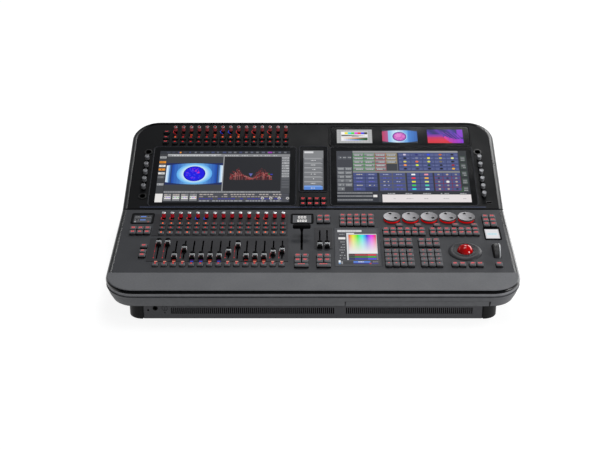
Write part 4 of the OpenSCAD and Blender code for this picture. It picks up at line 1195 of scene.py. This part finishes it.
blocks = Picture("status_master", "status_displays", (-50.3, -67.3, -4.3, -32), (58, 59, 61))
for i in range(9):
    blocks.rect(i * 0.111 + 0.008, 0, i * 0.111 + 0.1, 1, (98, 99, 102), 1)
for i in range(1, 6):
    blocks.rect(0, i * 0.167 - 0.02, 1, i * 0.167 + 0.02, (72, 73, 76), 2)
for u0, u1 in ((0.28, 0.4), (0.44, 0.56), (0.6, 0.72)):
    blocks.rects((u0, 0.56, u1, 0.9, paper, 3), (u0 + 0.035, 0.64, u1 - 0.035, 0.82, (98, 99, 102), 4))
for u0, u1 in ((0.24, 0.36), (0.39, 0.46), (0.49, 0.61), (0.64, 0.76)):
    blocks.rects((u0, 0.1, u1, 0.4, paper, 3), (u0 + 0.025, 0.26, u1 - 0.025, 0.33, (98, 99, 102), 4))
blocks.done()

pale = Picture("status_right", "status_displays", (423, -143, 457, -99.6), (206, 205, 208))
pale.rects((0.05, 0.06, 0.95, 0.94, (224, 222, 225), 1), (0.14, 0.36, 0.86, 0.6, (206, 226, 232), 2),
           (0.2, 0.46, 0.8, 0.49, (150, 206, 214), 3))
for u in (0.05, 0.93):
    pale.rect(u, 0.06, u + 0.02, 0.94, (190, 188, 194), 2)
for u in (0.3, 0.5, 0.7):
    pale.rect(u - 0.01, 0.4, u + 0.01, 0.56, (180, 204, 212), 4)
pale.done()

# ---------------- frames around the displays


def frame_ridge(shape, box, reach, rise, radius, material):
    """Raised frame that reaches out from a display and slopes down to its glass."""
    cx, cy, w, d = plan(box)
    levels = ((reach, 0), (reach - 0.6, rise * 0.7), (reach - 1.6, rise), (reach * 0.45, rise),
              (0.6, rise * 0.55), (-0.2, rise * 0.4), (-0.6, rise * 0.1))
    shape.loft([rounded(cx, cy, w + 2 * o, d + 2 * o, radius + o, n, 6) for o, n in levels], material,
               cap_high=False)


# Raised frames round the large screens, tinted blue as a painted bluish glint.
bezels = Shape("screen_bezels", "pod_panel")
for box in islands("main_screens"):
    frame_ridge(bezels, box, 4.2, 1.0, 9, bezel_painted_glint)
frame_ridge(bezels, local_box("centre_screen"), 4, 1.6, 6, bezel_painted_glint)
frame_ridge(bezels, local_box("preview_screens"), 5, 1.6, 8, pod_dark)
bezels.done()

frames = Shape("display_frames", "deck_panel")
for box in islands("status_displays"):
    frame_ridge(frames, box, 2.4, 2.2, 2, cap_matt)
frame_ridge(frames, local_box("touch_display"), 2.4, 1.0, 2, touch_grey)
frames.done()

# ---------------- pod front strip, painted shade behind the vent slots, and sockets


def pod_front_strip():
    """Thin blue-grey strip between the pod's front edge and the large screens."""
    width, thick = 880, 0.35
    front, back = pod_lo.y + 4.5, local_box("main_screens")[0].y - 4.5
    s = Shape("pod_front_strip", "pod_panel")
    s.loft([rounded(0, (front + back) / 2, width, back - front, 1, n) for n in (0, thick)], strip_blue)
    s.done()


def slot_shade_sheet(vent_lo, vent_hi):
    """Pleated dark sheet behind the vent slots: painted shade that darkens them, tinted faintly red-brown."""
    pleat, low, high = 6.0, 14, 35
    front, back = vent_hi.y + 0.6, vent_hi.y + 3.6
    s = Shape("slot_shade_sheet", "base_tray", MM)
    x = vent_lo.x + 60
    while x < vent_hi.x - 8:
        fold = ((x, front), (x + pleat / 2, back), (x + pleat, front))
        s.add([(px, py, z) for z in (low, high) for px, py in fold],
              [(0, 1, 4, 3), (1, 2, 5, 4)], slot_shade_brown)
        x += pleat
    s.done()


def phones_bushing(vent_lo):
    """Raised ring around the headphone socket."""
    socket_x, socket_z = -368, 31
    place = Matrix.Translation((socket_x, vent_lo.y, socket_z)) @ Matrix.Rotation(pi / 2, 4, "X")
    s = Shape("phones_bushing", "front_vent_panel", MM @ place)
    s.spin(0, 0, [(3.3, -2), (3.3, 0.8), (3.7, 1.2), (5.2, 1.2), (5.8, 0.6), (5.8, -0.5)], cap_matt,
           steps=48, cap_high=False)
    s.done()


vent_lo, vent_hi = (Vector(v) * 1000 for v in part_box("front_vent_panel"))
pod_front_strip()
# Dark sheet behind the vent slots as painted shade.
slot_shade_sheet(vent_lo, vent_hi)
phones_bushing(vent_lo)

# ---------------- lamps beside the knobs and faders


def arc_of_lamps(shape, x, s, n, r, column, red, blue, start, stop):
    """Five lamps around the left side of a knob, lit red or blue in some columns."""
    tint = arc_red if column in red else arc_blue if column in blue else arc_dim
    for i in range(5):
        a = radians(start + (stop - start) * i / 4)
        shape.disc(x + r * cos(a), s + r * sin(a), n, 0.85, tint, 8)


def fader_lamps(shape, x, column, middle, lowest, n):
    """Level strip beside a slot, glow under a lowered cap and a dash below the slot."""
    blue = column in (5, 6, 8)
    travel = 60
    level = (middle - lowest) / travel
    if level > 0.05:
        for k in range(int(level * 12) + 2):
            s = lowest - 4 + k * 5
            shape.quad(x - 7.8, s, x - 7, s + 3, n, light(168, 40, 46))
        for s in (lowest - 3, lowest + 26):
            if s < middle - 12:
                shape.quad(x - 8.2, s, x - 6.6, s + 2.4, n, arc_red)
    else:
        glow = light(86, 34, 116) if blue else light(196, 52, 44)
        shape.quad(x - 4, middle - 13.4, x + 4, middle - 11.6, n, glow)
    dash = (222, 124, 100) if column in (3, 7, 12, 13) else (64, 72, 196) if blue else (222, 140, 124)
    if column != 11:
        shape.box((x - 3.6, lowest - 18.4, 0), (x + 3.6, lowest - 16.9, n + 0.2), light(*dash))


lamps = Shape("deck_lamps", "control_inlays")
inlay_top = local_box("control_inlays")[1].z + 0.04
knob_row = plan(local_box("deck_encoders"))[1]
fader_middles = [plan(local_box("playback_fader_%02d" % (i + 1)))[1] for i in range(len(deck_columns))]
for i, x in enumerate(deck_columns):
    arc_of_lamps(lamps, x, knob_row, inlay_top, 7.2, i + 1, (1, 2, 3, 4, 12, 13), (5, 6), 150, 262)
    fader_lamps(lamps, x, i + 1, fader_middles[i], min(fader_middles), inlay_top)
lamps.done()

pod_lamps = Shape("pod_lamps", "pod_panel")
for box in islands("pod_encoders"):
    x, s, w, d = plan(box)
    column = column_of(x, pod_columns)
    arc_of_lamps(pod_lamps, x, s, 0.05, 7.4, column, (1, 9, 11, 13), (7, 8), 140, 250)
    pod_lamps.quad(x - 3, s - 13.6, x + 3, s - 12.4, 0.05, lamp_dim if column % 3 else lamp_orange)
pod_lamps.done()

# ---------------- stage, light and camera


def pale_floor(size):
    mesh = bpy.data.meshes.new("floor")
    corners = [(-size, -size, 0), (size, -size, 0), (size, size, 0), (-size, size, 0)]
    mesh.from_pydata(corners, [], [(0, 1, 2, 3)])
    white = (1, 1, 1, 1)
    mesh.materials.append(new_material("floor_pale", Base_Color=(0.22, 0.22, 0.22, 1), Roughness=0.95,
                                       Specular_IOR_Level=0.1, Emission_Color=white,
                                       Emission_Strength=0.88)[0])
    floor = bpy.data.objects.new("floor", mesh)
    bpy.context.scene.collection.objects.link(floor)


def studio_world():
    """White where the camera looks past the desk, and a weak cool fill everywhere else."""
    world = bpy.data.worlds.new("studio")
    bpy.context.scene.world = world
    world.use_nodes = True
    tree = world.node_tree
    tree.nodes.clear()
    out = add_node(tree, "OutputWorld")
    seen = add_node(tree, "Background", Color=(1, 1, 1, 1), Strength=1.0)
    fill = add_node(tree, "Background", Color=(0.93, 0.96, 1, 1), Strength=0.2)
    mix = add_node(tree, "MixShader")
    tree.links.new(add_node(tree, "LightPath").outputs["Is Camera Ray"], mix.inputs["Fac"])
    tree.links.new(fill.outputs["Background"], mix.inputs[1])
    tree.links.new(seen.outputs["Background"], mix.inputs[2])
    tree.links.new(mix.outputs["Shader"], out.inputs["Surface"])


def softbox(name, place, target, width, height, watts):
    data = bpy.data.lights.new(name, "AREA")
    data.shape = "RECTANGLE"
    data.size = width
    data.size_y = height
    data.energy = watts
    lamp = bpy.data.objects.new(name, data)
    lamp.location = place
    lamp.rotation_euler = (Vector(target) - Vector(place)).to_track_quat("-Z", "Y").to_euler()
    bpy.context.scene.collection.objects.link(lamp)


def front_camera(down, away, up):
    """Looks down at the desk from straight in front, in degrees and in metres from the hinge gap."""
    data = bpy.data.cameras.new("camera")
    data.lens = 76.13
    data.sensor_width = 36
    data.shift_x = -0.0131
    camera = bpy.data.objects.new("camera", data)
    camera.location = gap + Vector((0, -away, up))
    camera.rotation_euler = (radians(90 - down), 0, 0)
    bpy.context.scene.collection.objects.link(camera)
    bpy.context.scene.camera = camera


pale_floor(12)
studio_world()
softbox("key_light", (0.5, 2.2, 2.95), (0, 0, 0.15), 1.6, 0.5, 46)
softbox("top_light", (0.2, -0.1, 2.3), (0.05, 0, 0.15), 1.4, 1.0, 24)
softbox("right_light", (2.4, 2.0, 0.9), (0.2, 0, 0.12), 2.2, 1.4, 60)
softbox("front_light", (2.0, -1.2, 0.4), (0.45, -0.3, 0.03), 0.8, 0.6, 30)
softbox("left_light", (-2.4, 2.0, 0.9), (-0.3, 0, 0.12), 1.6, 1.2, 9)
front_camera(24.9, 2.9837, 1.3411)
bpy.context.scene.view_settings.view_transform = "Standard"
